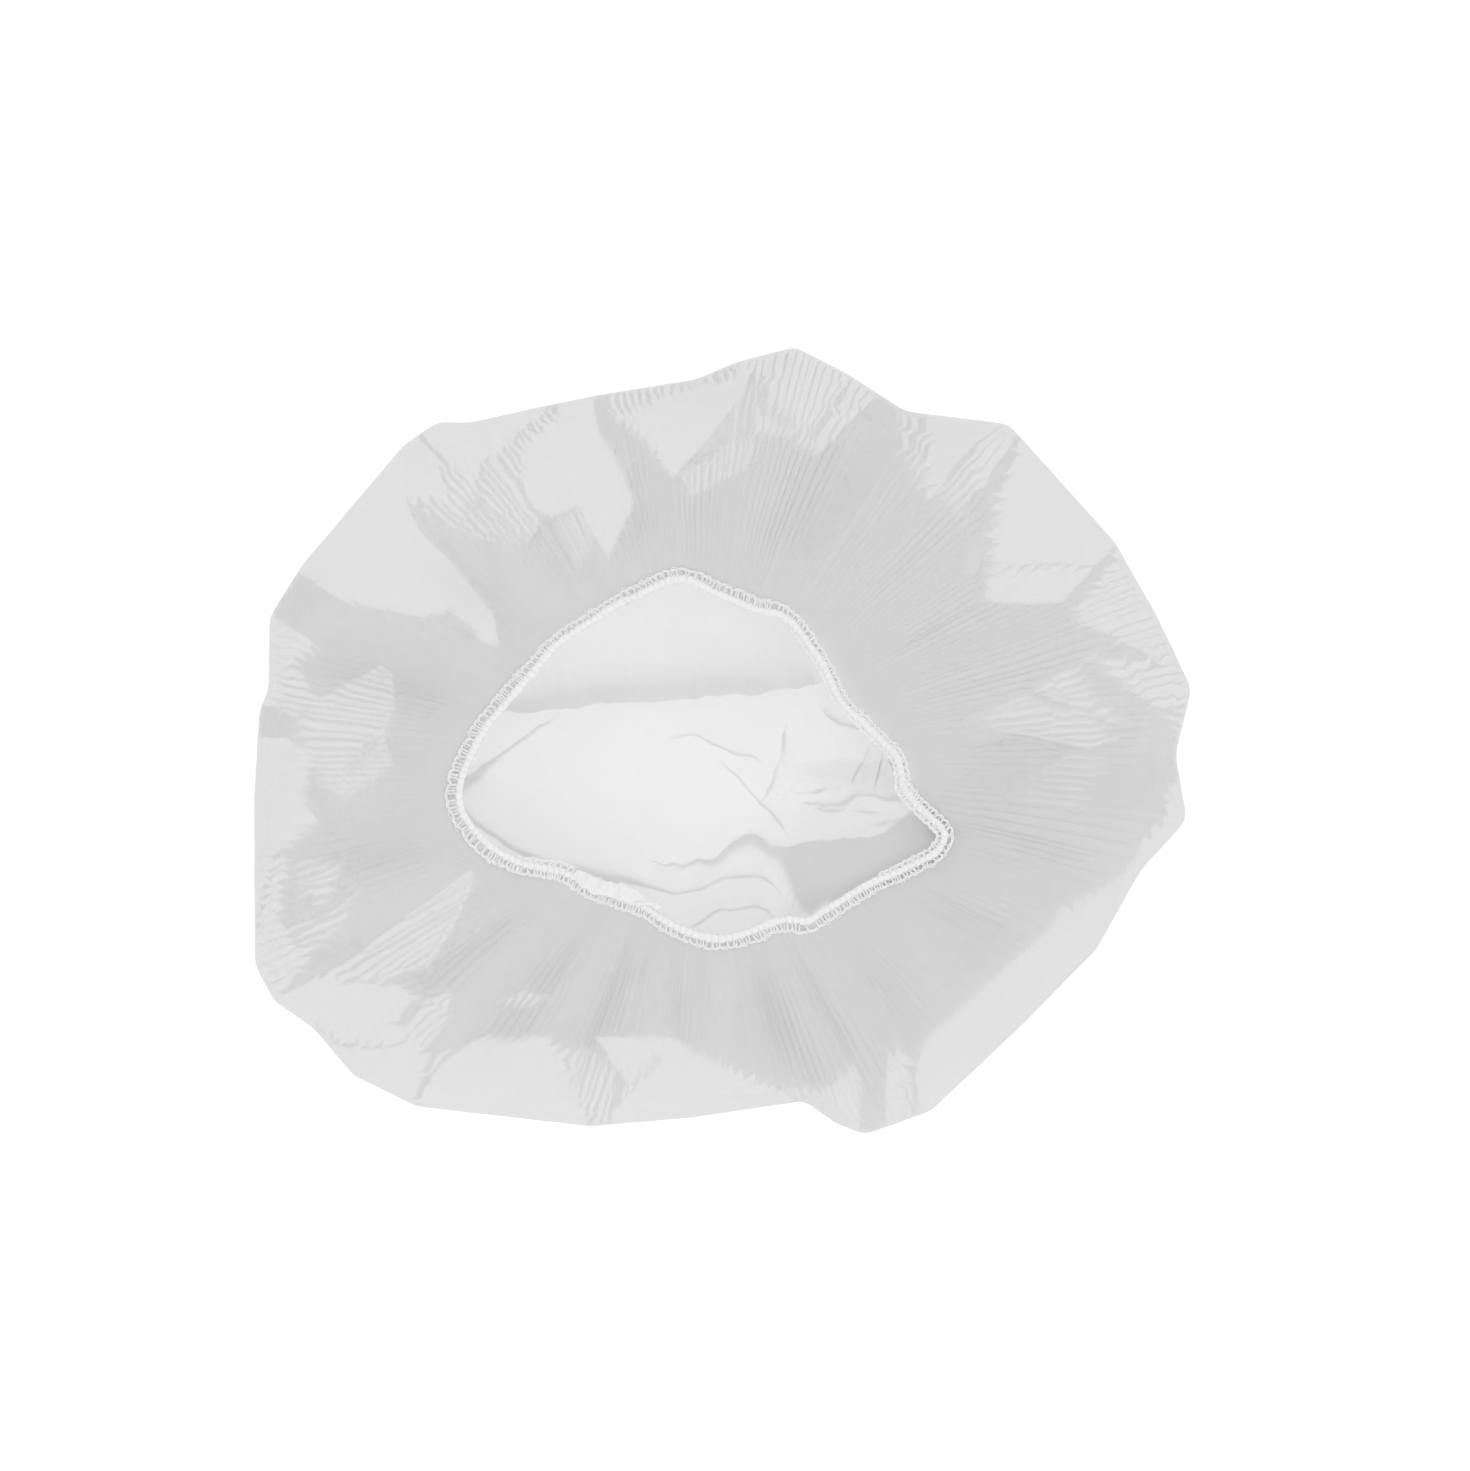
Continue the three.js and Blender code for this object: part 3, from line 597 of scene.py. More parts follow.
# %% Folds of the crown
# Each fold: the gap between its layers, then stations (x, y, width) along its middle, all in mm.
# Its sharp edge is on the right of the way along.
FOLDS = {
    "upper_band": (3.5, [(-104, 9, 0), (-90, 10, 2), (-75, 12, 2.8), (-60, 13.6, 4.2), (-40, 15.4, 5.6),
        (-20, 17, 6), (0, 18.6, 6.2), (18, 19.6, 5.5), (28, 20.2, 2.5), (35, 20.6, 0)]),
    "dark_corner": (0.9, [(118, -34, 0), (98, -34, 18), (78, -33, 21), (66, -34.5, 22), (57, -40.5, 19),
        (51, -43.5, 19), (46, -43.5, 20), (36, -45.5, 21), (27, -47, 23), (20, -38.5, 6), (13, -35, 5),
        (5, -36, 4), (0, -39, 3.5), (-6, -42.5, 2), (-17, -42, 0.9), (-32, -39.5, 0)]),
    "left_ridge": (0.9, [(-56, 9, 0), (-62, 5.5, 0.6), (-70, 0, 0.8), (-78, -6, 1.1), (-86, -13, 3.5),
        (-94, -18, 4), (-104, -24, 0)]),
    "lower_ridge": (0.9, [(-106, -14, 0), (-94, -20, 2), (-84, -29, 1.6), (-74, -36.5, 1.6),
        (-64, -41, 2.2), (-52, -44.5, 3), (-40, -47.5, 3.2), (-30, -49, 1.8), (-22, -51, 0.9),
        (-14, -52, 0.8), (-3, -48.6, 0.9), (6, -47, 0.9), (15, -48, 0.8), (24, -48, 0)]),
    "bottom": (0.9, [(-14, -66, 0), (-10, -63.5, 0.6), (-4, -59.7, 0.8), (5, -57.5, 0.7), (14, -58, 0.9),
        (24, -57, 0)]),
    "centre_slant": (0.9, [(-4, -4, 0), (3.4, -11, 0.6), (8, -15.5, 0.7), (15.5, -23.3, 0.9),
        (19, -28, 0.8), (22, -33, 0)]),
    "centre_faint": (0.9, [(-22, 0.5, 0), (-14, 1.6, 0.7), (-7.6, 1, 0.9), (-1, -1.7, 1.1), (10, -5, 0.8),
        (15, -7, 0)]),
    "centre_right": (0.9, [(22, 6, 0), (21, 3, 1.1), (19.5, -8, 1.3), (15.5, -17, 0.9), (13, -21, 0)]),
    "right_upper": (0.9, [(33, 12, 0), (36.5, 8.3, 1.5), (41, 5.5, 1.8), (46, 4.6, 1.3), (50, 2.5, 0)]),
    "right_slant": (0.9, [(51, -1, 0), (49.2, -5, 1.4), (47, -9, 1.5), (45.2, -12.5, 1.3),
        (43.6, -16.5, 0)]),
    "right_steep": (0.9, [(56, -1.5, 0), (54.4, -7, 0.9), (52.9, -12, 0.8), (52, -17, 0)]),
    "right_edge": (0.9, [(57.6, 1, 0), (58.6, -5, 3), (59.8, -10, 3), (60.5, -16, 0)]),
    "right_line": (0.9, [(18, -18.8, 0), (24, -18.1, 1.6), (29, -17.9, 1.8), (33, -17.6, 2),
        (37, -16.4, 1.4), (41, -15.8, 0)]),
    "right_long": (0.9, [(26, -20.9, 0), (31, -21.4, 2), (37, -21.6, 2.2), (42, -20.9, 2.6), (45, -19, 2.3),
        (49, -18.5, 2.4), (54, -19.3, 2.2), (60, -20, 2.4), (66, -20.5, 0)]),
    "right_under": (0.9, [(31, -23.6, 0), (35, -24.2, 2), (39, -24.2, 1.8), (42.5, -23.4, 0)]),
    "right_last": (0.9, [(44, -24, 0), (49, -24.4, 1.6), (55, -24, 0)]),
    "corner_ray": (0.9, [(50, -29.4, 0), (54, -29, 1.2), (60, -27, 1.6), (66, -23, 0)]),
}
FOLD_STEP = 1.2  # between points on a crease
JAGGED = 0.4  # how far a crumple strays from a smooth line


class Fold:
    """A Z-fold on the flat pattern: where it is, and how it moves the cloth when it is pulled shut."""

    def __init__(self, gap, stations):
        self.gap = gap
        self.wanted = np.array(stations, float)
        self.widths = self.wanted[:, 2]
        self.reach = 6 + 2.2 * self.widths.max()
        self.lay(self.wanted[:, :2])

    def lay(self, flat):
        """Puts the fold's middle through these places of the flat pattern."""
        self.flat = flat
        self.start = flat[0]
        self.length = math.dist(flat[0], flat[-1])
        self.along = (flat[-1] - flat[0]) / self.length
        self.left = np.array([-self.along[1], self.along[0]])
        self.knots = (flat - self.start) @ self.along
        self.offsets = (flat - self.start) @ self.left

    def smooth(self, values, place):
        """A smooth curve through the stations' values."""
        slopes = np.gradient(values, self.knots)
        slopes[[0, -1]] = 0
        i = np.clip(np.searchsorted(self.knots, place, side="right") - 1, 0, len(self.knots) - 2)
        span = self.knots[i + 1] - self.knots[i]
        t = np.clip((place - self.knots[i]) / span, 0, 1)
        curve = values[i] * (1 + 2 * t) * (1 - t) ** 2 + values[i + 1] * t * t * (3 - 2 * t)
        return curve + span * t * (1 - t) * (slopes[i] * (1 - t) - slopes[i + 1] * t)

    def width(self, place):
        return np.maximum(self.smooth(self.widths, place), 0)

    def line(self, place):
        """How far to the left the fold's middle lies."""
        most = JAGGED + 0.02 * self.widths.max()
        stray = most * smooth_noise(place + 7 * self.length, np.zeros(place.shape), 2.8, 44)
        ends = ease(place, 0, 4) * (1 - ease(place, self.length - 4, self.length))
        return self.smooth(self.offsets, place) + stray * ends

    def creases(self):
        place = np.linspace(0, self.length, max(8, int(self.length / FOLD_STEP)))
        width = self.width(place)
        width[[0, -1]] = 0
        line = self.line(place)
        for side in (0.5, -0.5):
            across = line + side * width
            yield self.start + place[:, None] * self.along + across[:, None] * self.left

    def shut(self, flat):
        """The shift in plan and the rise of each flat place."""
        place = (flat - self.start) @ self.along
        width = self.width(place)
        side = (flat - self.start) @ self.left - self.line(place)
        beyond = np.maximum(np.abs(side) - width / 2, 0)
        shift = np.clip(2 * side, -width, width) * np.exp(-((beyond / self.reach) ** 2))
        rise = self.gap * np.minimum(1, 0.25 + width / 6) * np.minimum(width, 1)
        over = np.clip(0.5 + side / np.maximum(width, 1e-6), 0, 1)
        drape = np.where(side > 0, np.exp(-((beyond / (3 + 1.6 * width)) ** 2)), 1)
        return np.column_stack([-shift[:, None] * self.left, 2 * rise * over * drape])


folds = [Fold(gap, stations) for gap, stations in FOLDS.values()]


def pull_folds(place):
    return sum((fold.shut(place) for fold in folds), np.zeros((len(place), 3)))


def lay_folds(rounds):
    """Moves the folds over the flat pattern until the pull of all of them brings each to its own place."""
    for _ in range(rounds):
        misses = [fold.wanted[:, :2] - fold.flat - pull_folds(fold.flat)[:, :2] for fold in folds]
        for fold, miss in zip(folds, misses):
            fold.lay(fold.flat + 0.6 * miss)
    return max(np.abs(miss).max() for miss in misses)


print(f"{len(folds)} folds, laid to within {lay_folds(24):.2f} mm")

# %% The crown's flat pattern
FINE_GRAIN = 1.5  # between points where the mouth shows the crown
COARSE_GRAIN = 3.4
RING_MARGIN = 2.5


def scattered(grain, seed):
    """A slightly shaken triangular grid of points over the cap's outline."""
    half = 190
    xs = np.arange(-half, half, grain)
    ys = np.arange(-half, half, grain * math.sqrt(3) / 2)
    x, y = np.meshgrid(xs, ys)
    x = x + (np.arange(len(ys)) % 2)[:, None] * grain / 2
    shake = np.random.default_rng(seed).uniform(-0.2, 0.2, (2, *x.shape)) * grain
    return np.stack([(x + shake[0]).ravel(), (y + shake[1]).ravel()], axis=1)


def reach_and_turn(place):
    out = place - middle
    return np.hypot(*out.T), np.arctan2(out[:, 1], out[:, 0])


def away_from_creases(place, gap):
    keep = np.ones(len(place), bool)
    for fold in folds:
        for crease in fold.creases():
            for point in crease:
                keep &= (place[:, 0] - point[0]) ** 2 + (place[:, 1] - point[1]) ** 2 > gap * gap
    return place[keep]


def crown_pattern():
    """Flat points and triangles of the crown. The first points are those of the base ring."""
    fine, coarse = scattered(FINE_GRAIN, 31), scattered(COARSE_GRAIN, 32)
    reach, turn = reach_and_turn(fine)
    fine = fine[reach < at_direction(smooth_mouth, turn) + 8]
    reach, turn = reach_and_turn(coarse)
    inner, outer = at_direction(smooth_mouth, turn) + 10, BASE_SHARE * at_direction(smooth_rim, turn)
    coarse = coarse[(reach > inner) & (reach < outer - RING_MARGIN)]
    inside = away_from_creases(np.concatenate([fine, coarse]), 0.6)
    ring_ids = list(range(COLUMNS))
    points = [base_ring, inside]
    edges = [(i, (i + 1) % COLUMNS) for i in ring_ids]
    count = COLUMNS + len(inside)
    for fold in folds:
        for crease in fold.creases():
            points.append(crease)
            edges += [(count + i, count + i + 1) for i in range(len(crease) - 1)]
            count += len(crease)
    flat = np.concatenate(points)
    made = delaunay_2d_cdt([Vector(p) for p in flat], edges, [], 1, 1e-4)
    places = np.array([tuple(v) for v in made[0]])
    ring_of = {}
    for new, olds in enumerate(made[3]):
        for old in olds:
            if old < COLUMNS:
                ring_of[old] = new
    return places, made[2], ring_of


crown_flat, crown_faces, ring_of = crown_pattern()
print(f"Crown pattern: {len(crown_flat)} points, {len(crown_faces)} triangles")

# %% The crown's surface
REST = 0.15  # the least height above the surface
# How high the slack cloth stands beside the mouth's edge: (direction in degrees, height).
BILLOW = [(0, 10), (45, 4), (90, 2), (135, 2), (180, 3), (225, 4), (270, 10), (300, 22), (320, 30), (340, 31),
          (352, 24)]
PUFF = 7.0  # height of the crown's middle
SWELL = [(0.9, 24), (0.35, 9)]  # heights and lengths of the crown's waves, which only rise


def crown_surface():
    reach, turn = reach_and_turn(crown_flat)
    to_ring = BASE_SHARE * at_direction(smooth_rim, turn) - reach
    free = ease(to_ring, 0, 25)
    pulled = pull_folds(crown_flat) * free[:, None]
    places = np.column_stack([crown_flat, np.zeros(len(crown_flat))]) + pulled
    x, y = places[:, 0], places[:, 1]
    swell = sum(height for height, length in SWELL) + waves(x, y, SWELL, 41)
    reach, turn = reach_and_turn(places[:, :2])
    to_mouth = reach / at_direction(smooth_mouth, turn)
    height = np.interp(np.degrees(turn), *np.array(BILLOW).T, period=360)
    billow = height * ease(to_mouth, 0.3, 1.02) * (1 - ease(to_mouth, 1.06, 1.55))
    billow += PUFF * (1 - ease(to_mouth, 0.05, 0.85))
    places[:, 2] += free * (REST + swell * (1 - 0.7 * ease(billow, 8, 25)) + billow)
    return places


crown_points = crown_surface()
print(f"The crown rises to {crown_points[:, 2].max():.1f} mm")

# %% [markdown]
# ## One sheet
#
# Ring, side and crown are one piece of cloth, so they become one mesh that shares its points where they meet.
# Folded edges are marked sharp: a fold's two layers face opposite ways, and smooth shading across it would
# smear light round the corner. A woven cloth would need flat coordinates here for its threads to follow. A
# felt has no threads in rows, so its grain can be cut from a solid block of noise.

# %% Join and shade the cloth
FOLDED_ANGLE = 55  # degrees between two faces that makes a crease


def grid_faces(first, points):
    """Two triangles for each cell of rows that close on themselves, split along its shorter diagonal."""
    rows, columns = points.shape[:2]
    number = first + np.arange(rows * columns).reshape(rows, columns)

    def after(grid):
        return np.roll(grid, -1, axis=1)

    a, b, c, d = number[:-1], after(number)[:-1], after(number)[1:], number[1:]
    rising = np.linalg.norm(points[:-1] - after(points)[1:], axis=2)
    falling = np.linalg.norm(after(points)[:-1] - points[1:], axis=2)
    short = (rising <= falling)[..., None]
    one = np.where(short, np.stack([a, b, c], 2), np.stack([a, b, d], 2))
    two = np.where(short, np.stack([a, c, d], 2), np.stack([b, c, d], 2))
    return [tuple(face) for face in np.concatenate([one, two]).reshape(-1, 3).tolist()]


def make_cloth():
    ring_count = ROWS * COLUMNS
    side = side_points[:-1]
    points = [ring_points.reshape(-1, 3), side.reshape(-1, 3), crown_points]
    faces = grid_faces(0, ring_points)
    faces += [face[::-1] for face in grid_faces(ring_count, side)]
    crown_first = ring_count + side.shape[0] * COLUMNS
    last_side = crown_first - COLUMNS
    for i in range(COLUMNS):
        k = (i + 1) % COLUMNS
        faces.append((ring_count + i, ring_count + k, k, i))
        faces.append((last_side + k, last_side + i, crown_first + ring_of[i], crown_first + ring_of[k]))
    faces += [tuple(crown_first + i for i in face[::-1]) for face in crown_faces]
    places = np.concatenate(points) * MM
    mesh = bpy.data.meshes.new("gathered_cloth")
    mesh.from_pydata(places.tolist(), [], faces)
    mesh.validate()
    mesh.update()
    return mesh


cloth_mesh = make_cloth()
for polygon in cloth_mesh.polygons:
    polygon.use_smooth = True
cloth_mesh.set_sharp_from_angle(angle=math.radians(FOLDED_ANGLE))
triangles = sum(len(p.vertices) - 2 for p in cloth_mesh.polygons)
area = sum(p.area for p in cloth_mesh.polygons)
cloth = bpy.data.objects.new("gathered_cloth", cloth_mesh)
bpy.context.collection.objects.link(cloth)
print(f"Cloth: {triangles} triangles, {area:.3f} m2 of cloth")

# %% [markdown]
# ## Shader maths in plain Python
#
# A material is a network of nodes. Written as node calls it is hard to read, so `Wire` wraps one output and
# lets it be added and multiplied like a number. Each operator adds one Math node. `Finish.node` makes any
# other node from its type, its settings and its sockets. The floor has the simplest finish, a matt sheet
# that glows, so it comes first.


# %% Wires and finishes
class Wire:
    """One output of a shader node."""

    def __init__(self, finish, socket):
        self.finish = finish
        self.socket = socket

    def maths(self, operation, *values):
        settings = {"operation": operation}
        return self.finish.node("ShaderNodeMath", settings, dict(enumerate(values)))

    def __add__(self, other):
        return self.maths("ADD", self, other)

    __radd__ = __add__

    def __mul__(self, other):
        return self.maths("MULTIPLY", self, other)

    __rmul__ = __mul__

    def __sub__(self, other):
        return self.maths("SUBTRACT", self, other)

    def __rsub__(self, other):
        return self.maths("SUBTRACT", other, self)


class Finish:
    """A material under construction."""

    def __init__(self, name):
        self.material = bpy.data.materials.new(name)
        self.material.use_nodes = True
        self.tree = self.material.node_tree
        self.tree.nodes.clear()

    def node(self, kind, settings=None, sockets=None, output=0):
        """Adds a node: settings first, then a value or a Wire for each named socket."""
        node = self.tree.nodes.new(kind)
        for key, value in (settings or {}).items():
            setattr(node, key, value)
        for key, value in (sockets or {}).items():
            if isinstance(value, Wire):
                self.tree.links.new(value.socket, node.inputs[key])
            else:
                node.inputs[key].default_value = value
        return Wire(self, node.outputs[output])

    def blend(self, mask, first, second):
        """A colour between two colours."""
        return self.node("ShaderNodeMix", {"data_type": "RGBA"}, {0: mask, 6: first, 7: second}, 2)

    def noise(self, place, scale, detail=2.0, roughness=0.5):
        sockets = {"Vector": place, "Scale": scale, "Detail": detail, "Roughness": roughness}
        return self.node("ShaderNodeTexNoise", None, sockets)

    def bump(self, height, distance, strength=1.0):
        sockets = {"Height": height, "Distance": distance, "Strength": strength}
        return self.node("ShaderNodeBump", None, sockets)

    def lit_through(self, share, front, back):
        """A rough surface that lets a share of the light go on through it, spread out."""
        shaders = {
            0: share,
            1: self.node("ShaderNodeBsdfPrincipled", None, front),
            2: self.node("ShaderNodeBsdfTranslucent", None, back),
        }
        return self.show(self.node("ShaderNodeMixShader", None, shaders))

    def show(self, surface):
        output = self.tree.nodes.new("ShaderNodeOutputMaterial")
        self.tree.links.new(surface.socket, output.inputs["Surface"])
        return self.material


def grey(value):
    return (value, value, value, 1.0)


# %% Floor finish
def floor_finish():
    paper = Finish("pale_floor")
    sockets = {
        "Base Color": FLOOR_COLOUR,
        "Roughness": 0.9,
        "Specular IOR Level": 0.0,
        "Emission Color": grey(1.0),
        "Emission Strength": FLOOR_GLOW,
    }
    return paper.show(paper.node("ShaderNodeBsdfPrincipled", None, sockets))


floor.data.materials.append(floor_finish())

# %% [markdown]
# ## The nonwoven
#
# Spunbond cloth is a thin felt of endless plastic fibres, pressed together at a grid of tiny points. It has
# no shine. About half of the light that meets it goes back and half goes on through, spread out, so each
# layer that lies under another makes the place a little greyer. A plain white surface can't do that, and
# glass-like transparency would show the layers as sharp as through a window. So an ordinary rough surface is
# mixed half and half with a Translucent one, with a few pores that are simply open.

# %% Nonwoven finish
CLOTH_WHITE = 0.88
CLOUDY = 0.012  # how far the white wavers where fibres bunch up
THROUGH_SHARE = 0.5
OPEN_SHARE = 0.1
PORE_SPREAD = 0.12  # how far the open share varies from fibre to fibre
CLOUD_GRAIN = 260.0  # lumps a metre
FIBRE_GRAIN = 1900.0


def nonwoven_finish():
    web = Finish("spunbond_nonwoven")
    place = web.node("ShaderNodeTexCoord", None, None, "Object")
    clouds = web.noise(place, CLOUD_GRAIN, 4.0, 0.6)
    fibres = web.noise(place, FIBRE_GRAIN, 3.0, 0.7)
    height = clouds * 0.6 + fibres * 0.4
    normal = web.bump(height, 0.0002, 0.6)
    colour = web.blend(clouds, grey(CLOTH_WHITE - CLOUDY), grey(CLOTH_WHITE + CLOUDY))
    alpha = 1 - OPEN_SHARE + (fibres - 0.5) * PORE_SPREAD
    sockets = {
        "Base Color": colour,
        "Roughness": 0.85,
        "Specular IOR Level": 0.15,
        "Alpha": alpha,
        "Normal": normal,
    }
    return web.lit_through(THROUGH_SHARE, sockets, {"Color": grey(CLOTH_WHITE), "Normal": normal})


cloth_mesh.materials.append(nonwoven_finish())

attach(cloth, BODY)
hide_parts("cap_cloth")

# %% [markdown]
# ## The mouth's line
#
# The elastic, its stitches and its lapped joint all follow one closed line: the mouth's edge. They are laid
# out on it in three measures, as a seam is on a table: how far along, how far out from the edge, and how
# high above the cloth. A helper turns those into places, so each piece can be drawn as if it were straight.

# %% Along, out and up
MOUTH_STEPS = 1800


def mouth_curve():
    turns = np.arange(MOUTH_STEPS) * TURN / MOUTH_STEPS
    reach = at_direction(smooth_mouth, turns)
    line = np.stack([middle[0] + reach * np.cos(turns), middle[1] + reach * np.sin(turns),
                     at_direction(smooth_mouth_height, turns)], axis=1)
    steps = np.linalg.norm(np.roll(line, -1, axis=0) - line, axis=1)
    return turns, line, np.concatenate([[0], np.cumsum(steps)])


mouth_turns, mouth_line, mouth_marks = mouth_curve()
MOUTH_LENGTH = mouth_marks[-1]
print(f"The relaxed elastic is {MOUTH_LENGTH:.0f} mm round")


def along_mouth(table, place):
    """Reads a table of the mouth's points at any distances along it."""
    closed = np.concatenate([table, table[:1]])
    place = np.asarray(place) % MOUTH_LENGTH
    return np.stack([np.interp(place, mouth_marks, column) for column in closed.T], axis=-1)


ahead = np.roll(mouth_line, -8, axis=0) - np.roll(mouth_line, 8, axis=0)
ahead /= np.linalg.norm(ahead, axis=1)[:, None]
outward = np.stack([ahead[:, 1], -ahead[:, 0], np.zeros(MOUTH_STEPS)], axis=1)


def turn_at(along):
    """Direction in radians at any distances along the mouth."""
    return np.interp(np.asarray(along) % MOUTH_LENGTH, mouth_marks, [*mouth_turns, TURN])


def cloth_top(turn, out):
    """Height of the pressed pleats' top, at a direction and a distance out from the mouth's edge."""
    ring_width = at_direction(smooth_rim, turn) - at_direction(smooth_mouth, turn)
    share = 1 - np.maximum(out, 0) / ring_width
    row = np.interp(share, shares, np.arange(ROWS))
    low = np.minimum(row.astype(int), ROWS - 2)
    column = np.rint(turn / direction_step).astype(int) % DIRECTIONS
    near, far = ring_top[column, low], ring_top[column, low + 1]
    return near + (far - near) * (row - low) - CLOTH_BELOW * ease(share, FIRM_SHARE, 1) + SEAM_HEIGHT


def seam_place(along, out, up):
    """Places in mm from the distance along the mouth, out from its edge and up from the cloth's top."""
    out = np.asarray(out, float)
    place = along_mouth(mouth_line, along) + along_mouth(outward, along) * out[..., None]
    place[..., 2] = cloth_top(turn_at(along), out) + up
    return place


def along_at(degrees):
    """Distance along the mouth at a direction in degrees."""
    return np.interp(np.asarray(degrees) % 360, np.degrees(mouth_turns), mouth_marks[:-1])


# %% Tubes
class Bundle:
    """Many tubes gathered in one mesh. Each is skinned ring by ring."""

    def __init__(self):
        self.points = []
        self.faces = []
        self.count = 0

    def rings(self, rings, closed=False):
        """Skins a row of rings of points, and caps its ends unless it closes on itself."""
        rings = np.asarray(rings)
        steps, sides = rings.shape[:2]
        number = self.count + np.arange(steps * sides).reshape(steps, sides)
        ahead = np.roll(number, -1, axis=0) if closed else number[1:]
        here = number if closed else number[:-1]
        cells = np.stack([here, np.roll(here, -1, 1), np.roll(ahead, -1, 1), ahead], axis=2)
        self.faces += [tuple(face) for face in cells.reshape(-1, 4).tolist()]
        if not closed:
            self.faces += [tuple(number[0][::-1].tolist()), tuple(number[-1].tolist())]
        self.points.append(rings.reshape(-1, 3))
        self.count += steps * sides

    def thread(self, path, radius, sides):
        """A round tube along a path of points. Its radius is one number or one for each point."""
        tangent = np.gradient(path, axis=0)
        tangent /= np.linalg.norm(tangent, axis=1)[:, None] + 1e-12
        side = np.cross(tangent, (0, 0, 1.0))
        length = np.linalg.norm(side, axis=1)[:, None]
        side = np.where(length > 0.15, side / np.maximum(length, 1e-9), np.cross(tangent, (1.0, 0.3, 0)))
        side /= np.linalg.norm(side, axis=1)[:, None]
        up = np.cross(side, tangent)
        angle = TURN * np.arange(sides) / sides
        radius = np.broadcast_to(radius, (len(path),))[:, None, None]
        ring = side[:, None] * np.cos(angle)[None, :, None] + up[:, None] * np.sin(angle)[None, :, None]
        self.rings(path[:, None] + radius * ring)

    def sewn(self, along, out, up, radius, sides=5):
        """A thread in the seam's own measures."""
        self.thread(seam_place(along, out, up), radius, sides)

    def make(self, name, finish):
        mesh = bpy.data.meshes.new(name)
        mesh.from_pydata((np.concatenate(self.points) * MM).tolist(), [], self.faces)
        mesh.validate()
        mesh.update()
        mesh.shade_smooth()
        mesh.materials.append(finish)
        piece = bpy.data.objects.new(name, mesh)
        bpy.context.collection.objects.link(piece)
        print(f"{name}: {sum(len(p.vertices) - 2 for p in mesh.polygons)} triangles")
        return piece


# %% [markdown]
# ## Elastic
#
# The elastic is a flat knitted cord about two and a half millimetres wide. Every stitch bites it, so it
# looks like a row of soft beads. A bevelled curve would be an even wire, so its section is drawn ring by
# ring: an oval that narrows at each bite and wavers a little along the way.

# %% Elastic finish
def elastic_finish():
    cord = Finish("knitted_elastic")
    place = cord.node("ShaderNodeTexCoord", None, None, "Object")
    knit = cord.noise(place, 1500.0, 2.0, 0.6)
    colour = cord.blend(knit, grey(0.93), grey(0.99))
    sockets = {
        "Base Color": colour,
        "Roughness": 0.7,
        "Specular IOR Level": 0.25,
        "Normal": cord.bump(knit, 0.0003, 0.7),
    }
    return cord.lit_through(0.08, sockets, {"Color": grey(0.95)})


# %% Elastic cord
ELASTIC_WIDTH = 2.6
ELASTIC_THICK = 0.95
ELASTIC_FOOT = 0.2  # its underside above the cloth
STITCH_LENGTH = 2.2
STITCHES = round(MOUTH_LENGTH / STITCH_LENGTH)
PITCH = MOUTH_LENGTH / STITCHES
RINGS_A_STITCH = 6
ELASTIC_SIDES = 12
WIDTH_BITE, THICK_BITE = 0.16, 0.18  # shares of the section that each stitch presses in
elastic_white = elastic_finish()


def elastic_cord():
    steps = STITCHES * RINGS_A_STITCH
    along = np.arange(steps) * MOUTH_LENGTH / steps
    bite = np.abs(np.sin(math.pi * along / PITCH)) ** 0.6
    waver = smooth_noise(along, np.zeros(steps), 9, 51)
    fine = smooth_noise(along, np.zeros(steps), 1.7, 52)
    width = ELASTIC_WIDTH * (1 - WIDTH_BITE * (1 - bite)) * (1 + 0.14 * waver + 0.09 * fine)
    thick = ELASTIC_THICK * (1 - THICK_BITE * (1 - bite)) * (1 - 0.08 * waver)
    angle = TURN * np.arange(ELASTIC_SIDES) / ELASTIC_SIDES
    lump = 1 + 0.05 * smooth_noise(along[:, None] * 0.9, angle[None, :] * 1.3, 1, 53)
    out = ELASTIC_WIDTH / 2 + 0.15 * waver[:, None] + width[:, None] / 2 * np.cos(angle) * lump
    up = ELASTIC_FOOT + thick[:, None] / 2 * (1 + np.sin(angle) * lump)
    cord = Bundle()
    cord.rings(seam_place(np.repeat(along[:, None], ELASTIC_SIDES, 1), out, up), closed=True)
    return cord.make("elastic_cord", elastic_white)


elastic = elastic_cord()
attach(elastic, BODY)
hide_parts("elastic_band")

# %% [markdown]
# ## Overlock stitches
#
# The stitches bind the gathers to the elastic. Seen from above they are a ladder: rungs reach from the
# elastic over the cloth, mostly two to a stitch, and a looped chain of two threads runs along their outer
# ends. Where the seam has rolled over, the ladder shows on the mouth's side too. Each thread is a real tube,
# because its holes are what one sees.

# %% Thread finish
def thread_finish():
    yarn = Finish("overlock_thread")
    place = yarn.node("ShaderNodeTexCoord", None, None, "Object")
    fluff = yarn.noise(place, 3200.0, 2.0, 0.7)
    sockets = {
        "Base Color": grey(0.98),
        "Roughness": 0.6,
        "Specular IOR Level": 0.3,
        "Normal": yarn.bump(fluff, 0.0002, 0.5),
    }
    return yarn.lit_through(0.1, sockets, {"Color": grey(0.98)})


# %% Ladder of stitches
THREAD = 0.33  # radius
CHAIN_THREAD = 0.36
